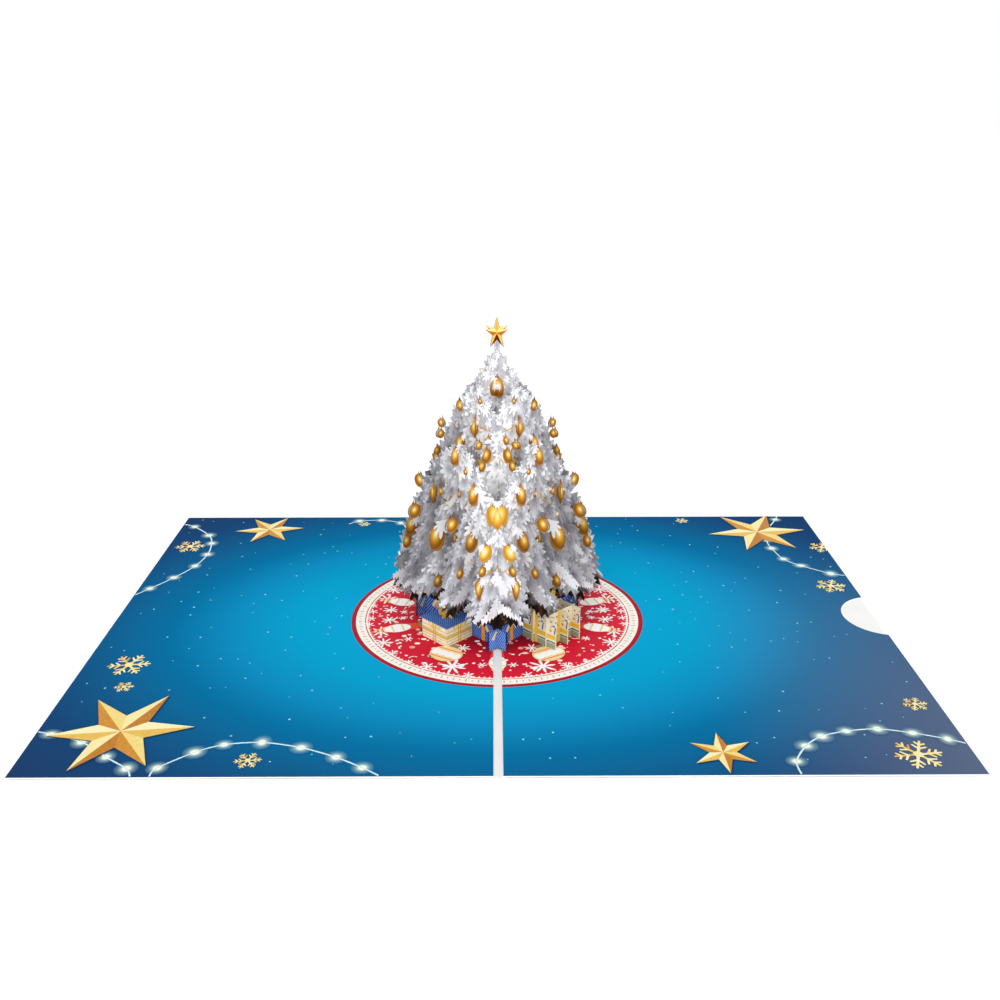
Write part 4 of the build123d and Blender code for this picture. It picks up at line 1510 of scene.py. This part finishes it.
class CARD_OT_gifts(bpy.types.Operator):
    """Prints the gifts: the blue ones at the tree's corners, the lidded box and the open crate"""

    bl_idname = "card.gifts"
    bl_label = "Gifts"

    def execute(self, context):
        cream = gift_paper("cream_gift_wrap", "#DCD0AA", "#EFE6CA")
        crate = gift_paper("cream_crate_wrap", "#DDD3B2", "#EFE8D0", above=(11.0, "#D9A520", "#F6CB45"))
        blue = gift_paper("blue_lid_paper", "#1F4C9C", "#2C62B4", dots="#86A8D4")
        gold = gift_paper("gold_ribbon_print", "#C08A16", "#F2C63F")
        for name, node in NODES.items():
            if name.startswith("gift"):
                wrap = crate if "crate" in name else cream
                dress(node, gold if "bow" in name else blue if "lid" in name else wrap)
        film = Film()
        draw = random.Random(8)
        for family in "ab":
            for row in (-2, 2):
                for side in (-1, 1):
                    for end in (-1, 1):
                        self.corner_gift(film, family, on_plane(family, row * BAY, side), end, draw)
        self.box_ribbons(film)
        self.crate_ribbons(film)
        inks = [
            ink("blue_wrap_ink", [(0.0, "#0F3492"), (1.0, "#2460C6")], grain=0.9),
            ink("pale_stripe_ink", [(0.0, "#4A7AC8"), (1.0, "#9CBDE8")], grain=0.5),
            ink("orange_gold_ribbon_ink", [(0.0, "#C27A12"), (1.0, "#EFA92E")], grain=0.7),
            ink("pale_ribbon_ink", [(0.0, "#D6B23E"), (1.0, "#F6E59C")], grain=0.5),
            ink("dark_foliage_ink", [(0.0, "#0C0A09"), (1.0, "#33261A")], grain=1.4),
            ink("yellow_ribbon_ink", [(0.0, "#B8922A"), (0.5, "#DDB83A"), (1.0, "#F1D558")], grain=0.5),
            ink(
                "bramble_leaf_ink",
                [(0.0, "#7A2A18"), (0.35, "#5E4522"), (0.7, "#3F5030"), (1.0, "#6B7A45")],
            ),
            ink("fine_line_ink", [(0.0, "#A08A56"), (1.0, "#C6B482")], grain=0.4),
            ink("teal_mark_ink", [(0.0, "#1D5C6E"), (1.0, "#3C7F8C")], grain=0.4),
            ink("grey_green_band_ink", [(0.0, "#7F8C6C"), (1.0, "#9DA888")], grain=0.8),
            ink("rose_dot_ink", [(0.0, "#8A5A4E"), (1.0, "#C0705C")], grain=0.6),
        ]
        film.piece("printed_gifts", inks, "blue_gift")
        return {"FINISHED"}

    def corner_gift(self, film, family, sheet, end, draw):
        """A blue gift with a ribbon at one end of an outer slice, under dark foliage."""
        inner, corner, outer = 5.6, 16.97, 21.0

        def lay(points, **how):
            """Lays points that are counted outwards from the slice's middle."""
            film.lay(sheet, [(end * u, v) for u, v in points], **how)

        lay([(inner, 0.1), (corner, 0.1), (corner, 6.8), (inner, 6.8)], layer=1, ink=0, tone=0.3)
        lay([(corner, 0.1), (outer, 0.1), (outer, 6.8), (corner, 6.8)], layer=1, ink=0, tone=0.6)
        dark = [(inner, 6.8), (corner + 2, 6.8)]
        for step in range(14, -1, -1):
            dark.append((inner + (corner + 2 - inner) * step / 14, 10.2 + (1.9 if step % 2 else -0.9)))
        lay(dark, layer=1, ink=4, tone=0.4)
        for _ in range(16):
            place = (draw.uniform(inner + 1, corner), draw.uniform(7.2, 9.6))
            blade = leaf(place, draw.uniform(0.3, 2.8), draw.uniform(1.2, 2.2), 0.7)
            lay(blade, layer=1.6, ink=6, tone=draw.random())
        for stripe in range(20):
            foot = inner + 0.4 + stripe * 1.05
            line = bar((foot, 0.2), (foot - 5.4, 6.6), 0.24)
            for low, high, tone in ((inner + 0.3, corner - 0.2, 0.6), (corner + 0.2, outer - 0.2, 1.0)):
                kept = cut(line, 0, low, 1)
                kept = cut(kept, 0, high, -1) if kept else kept
                lay(kept, layer=2, ink=1, tone=tone)
        ribbon = 10.8
        lay(bar((ribbon, 0.1), (ribbon, 6.8), 1.4), layer=3, ink=2, tone=0.6)
        for way in (-1, 1):
            lay(bar((ribbon + way * 0.4, 6.9), (ribbon + way * 2.3, 4.1), 0.8, 1.0), layer=4, ink=3, tone=0.7)
        if family == "a":
            lay(bar((corner + 0.7, 5.9), (corner + 2.3, 3.4), 0.9, 1.1), layer=4, ink=3, tone=0.6)

    def box_ribbons(self, film):
        """A ribbon cross, fine level lines and hanging tails on each wall of the lidded box."""
        reach_a, reach_b, (low, high) = span("gift_box_walls")
        for family, reach, across in (("a", reach_a, reach_b), ("b", reach_b, reach_a)):
            for side, line in ((-1, across[0]), (1, across[1])):
                sheet = on_plane(family, line, side, 0)
                middle = (reach[0] + reach[1]) / 2
                for height, width, shade, tone in (
                    (1.2, 0.18, 7, 0.5), (2.3, 0.18, 7, 0.5), (3.1, 0.2, 7, 0.2),
                    (3.55, 0.6, 5, 0.35), (4.1, 0.2, 7, 0.2), (5.3, 0.18, 7, 0.5),
                ):
                    level = bar((reach[0], low + height), (reach[1], low + height), width)
                    film.lay(sheet, level, layer=1, ink=shade, tone=tone)
                for shift in (-0.45, 0.45):
                    upright = bar((middle + shift, low), (middle + shift, high), 0.42)
                    film.lay(sheet, upright, layer=2, ink=5, tone=0.25)
                for way in (-1, 1):
                    tail = bar((middle + way * 0.4, high), (middle + way * 1.9, high - 2.3), 0.6, 0.75)
                    film.lay(sheet, tail, layer=3, ink=5, tone=0.9)
                    hem = bar((middle + way * 2.9, high), (middle + way * 2.2, high - 1.4), 0.45)
                    film.lay(sheet, hem, layer=3, ink=5, tone=0.6)

    def crate_ribbons(self, film):
        """Broad yellow ribbons, dots, hooks and the lower band on the open crate's sheets."""
        for name in ("a1", "a2", "b1", "b2", "b3"):
            reach_a, reach_b, _ = span(f"gift_crate_{name}")
            reach, across = (reach_a, reach_b) if name[0] == "a" else (reach_b, reach_a)
            line = (across[0] + across[1]) / 2
            ribbons = {"a1": (0.0,), "a2": (0.0,), "b1": (-22.63,)}.get(name, ())
            low, high = reach[0] + 0.1, reach[1] - 0.1
            for side in (-1, 1):
                sheet = on_plane(name[0], line, side)
                film.lay(sheet, [(low, 0.1), (high, 0.1), (high, 2.0), (low, 2.0)], layer=1, ink=9, tone=0.5)
                film.lay(sheet, bar((low, 2.5), (high, 2.5), 0.5), layer=1, ink=8, tone=0.4)
                film.lay(sheet, bar((low, 4.2), (high, 4.2), 1.5), layer=1, ink=5, tone=0.5)
                for place in ribbons:
                    for near in (place - 0.75, place + 0.75):
                        film.lay(sheet, bar((near, 0.1), (near, 10.9), 1.2), layer=2, ink=5, tone=0.6)
                for cell in (-33.5, -30.6, -25.46, -20.0, -2.83, 2.83):
                    if not low + 0.8 < cell < high - 0.8:
                        continue
                    film.lay(sheet, bar((cell - 0.5, 5.4), (cell - 0.9, 8.0), 0.42), layer=2, ink=0, tone=0.4)
                    hook = []
                    for radius, turns in ((0.62, range(0, 181, 30)), (0.25, range(180, -1, -30))):
                        for turn in map(math.radians, turns):
                            hook += turned((cell - 0.3, 8.0), turn, [(radius, 0.0)])
                    film.lay(sheet, hook, layer=2.3, ink=0, tone=0.4)
                    for aside, height, radius, shade in (
                        (1.0, 9.4, 0.34, 10), (-1.0, 9.8, 0.26, 8), (1.1, 6.4, 0.5, 2), (0.9, 7.7, 0.24, 10),
                    ):
                        dot = circle(cell + aside, height, radius, 8)
                        film.lay(sheet, dot, layer=2.5, ink=shade, tone=0.5)


def direct_share(tree):
    """Above 0 only for rays from the camera, off a mirror or through a clear surface."""
    path = put(tree, "LightPath").outputs
    seen = put(tree, "Math", (path["Is Camera Ray"], path["Is Glossy Ray"]), operation="ADD")
    return put(tree, "Math", (seen, path["Is Transmission Ray"]), operation="ADD")


class CARD_OT_stage(bpy.types.Operator):
    """Sets the white floor, the soft lamps and the camera of the photograph"""

    bl_idname = "card.stage"
    bl_label = "Stage"

    def execute(self, context):
        scene = context.scene
        scene.view_settings.view_transform = "Standard"
        self.floor(scene)
        self.room(scene)
        # Each lamp's strength, its turn and the width of its soft disc in degrees.
        for name, energy, turns, angle in (
            ("key", 1.07, (38, 0, -14), 35),
            ("fill", 0.55, (62, 0, 22), 60),
        ):
            lamp = bpy.data.lights.new(name, "SUN")
            lamp.energy = energy
            lamp.angle = math.radians(angle)
            held = bpy.data.objects.new(name, lamp)
            held.rotation_euler = [math.radians(turn) for turn in turns]
            scene.collection.objects.link(held)
        # The photograph's own camera: its lens, its place and its tilt were solved from the card's corners.
        camera = bpy.data.objects.new("camera", bpy.data.cameras.new("camera"))
        camera.data.lens = 38.304
        camera.data.sensor_width = 36.0
        camera.data.clip_start = 0.01
        camera.data.clip_end = 50
        camera.location = (-1.0 * MM, -319.1 * MM, 166.55 * MM)
        camera.rotation_euler = (math.radians(90 - 21.15), 0, math.radians(-0.35))
        scene.collection.objects.link(camera)
        scene.camera = camera
        return {"FINISHED"}

    def floor(self, scene):
        """A white floor 8 m wide, lifted to white where it's seen; the card's shadow on it stays."""
        mesh = bpy.data.meshes.new("floor")
        half = 4.0
        corners = [(-half, -half, 0), (half, -half, 0), (half, half, 0), (-half, half, 0)]
        mesh.from_pydata(corners, [], [(0, 1, 2, 3)])
        floor = bpy.data.objects.new("floor", mesh)
        scene.collection.objects.link(floor)
        floor.location.z = -0.2 * MM
        material, tree, shader = new_material("white_paper_floor", 0.9, 0.1)
        shader.inputs["Base Color"].default_value = (*scene.card_colours.floor, 1.0)
        strength = put(tree, "Math", (direct_share(tree), 0.16), operation="MULTIPLY")
        lift = put(tree, "Emission", {"Strength": strength})
        both = put(tree, "AddShader", (shader, lift))
        tree.links.new(both.outputs[0], tree.nodes["Material Output"].inputs["Surface"])
        mesh.materials.append(material)

    def room(self, scene):
        """A white room, brighter low down, so that upright sheets get as much light as the card."""
        world = bpy.data.worlds.new("white_room")
        scene.world = world
        world.use_nodes = True
        tree = world.node_tree
        way = put(tree, "SeparateXYZ", (put(tree, "TexCoord").outputs["Generated"],)).outputs
        lowness = put(tree, "Math", (1.0, way["Z"]), operation="SUBTRACT", use_clamp=True)
        squared = put(tree, "Math", (lowness, 2.0), operation="POWER")
        light = put(tree, "Math", (squared, 2.4, 0.28), operation="MULTIPLY_ADD")
        capped = put(tree, "Math", (direct_share(tree), 1.0), operation="MINIMUM")
        level = put(tree, "Mix", {"Factor": capped, "A": light, "B": 1.0}, data_type="FLOAT")
        background = tree.nodes["Background"]
        background.inputs["Color"].default_value = (1, 1, 1, 1)
        tree.links.new(level.outputs["Result"], background.inputs["Strength"])


class CARD_PT_panel(bpy.types.Panel):
    """Lists the card's pieces"""

    bl_idname = "CARD_PT_panel"
    bl_label = "Pop-up card"
    bl_space_type = "VIEW_3D"
    bl_region_type = "UI"
    bl_category = "Card"

    def draw(self, context):
        for group in (context.scene.card_sizes, context.scene.card_colours):
            for name in group.__annotations__:
                self.layout.prop(group, name)
        for operator in OPERATORS:
            self.layout.operator(operator.bl_idname)


OPERATORS = (
    CARD_OT_papers,
    CARD_OT_printed_stars,
    CARD_OT_snowflakes,
    CARD_OT_light_strings,
    CARD_OT_sky_dots,
    CARD_OT_skirt,
    CARD_OT_fir,
    CARD_OT_baubles,
    CARD_OT_tree_lights,
    CARD_OT_top_star,
    CARD_OT_gifts,
    CARD_OT_stage,
)
CLASSES = (CardColours, CardSizes, *OPERATORS, CARD_PT_panel)


def register():
    """Makes the card's operators, settings and panel known."""
    for made in CLASSES:
        bpy.utils.register_class(made)
    bpy.types.Scene.card_colours = bpy.props.PointerProperty(type=CardColours)
    bpy.types.Scene.card_sizes = bpy.props.PointerProperty(type=CardSizes)


def unregister():
    """Takes them away again."""
    del bpy.types.Scene.card_sizes
    del bpy.types.Scene.card_colours
    for made in reversed(CLASSES):
        bpy.utils.unregister_class(made)


def main():
    """Builds every piece in order."""
    register()
    for operator in OPERATORS:
        group, name = operator.bl_idname.split(".")
        getattr(getattr(bpy.ops, group), name)()
    bpy.context.view_layer.update()


if __name__ == "__main__":
    main()
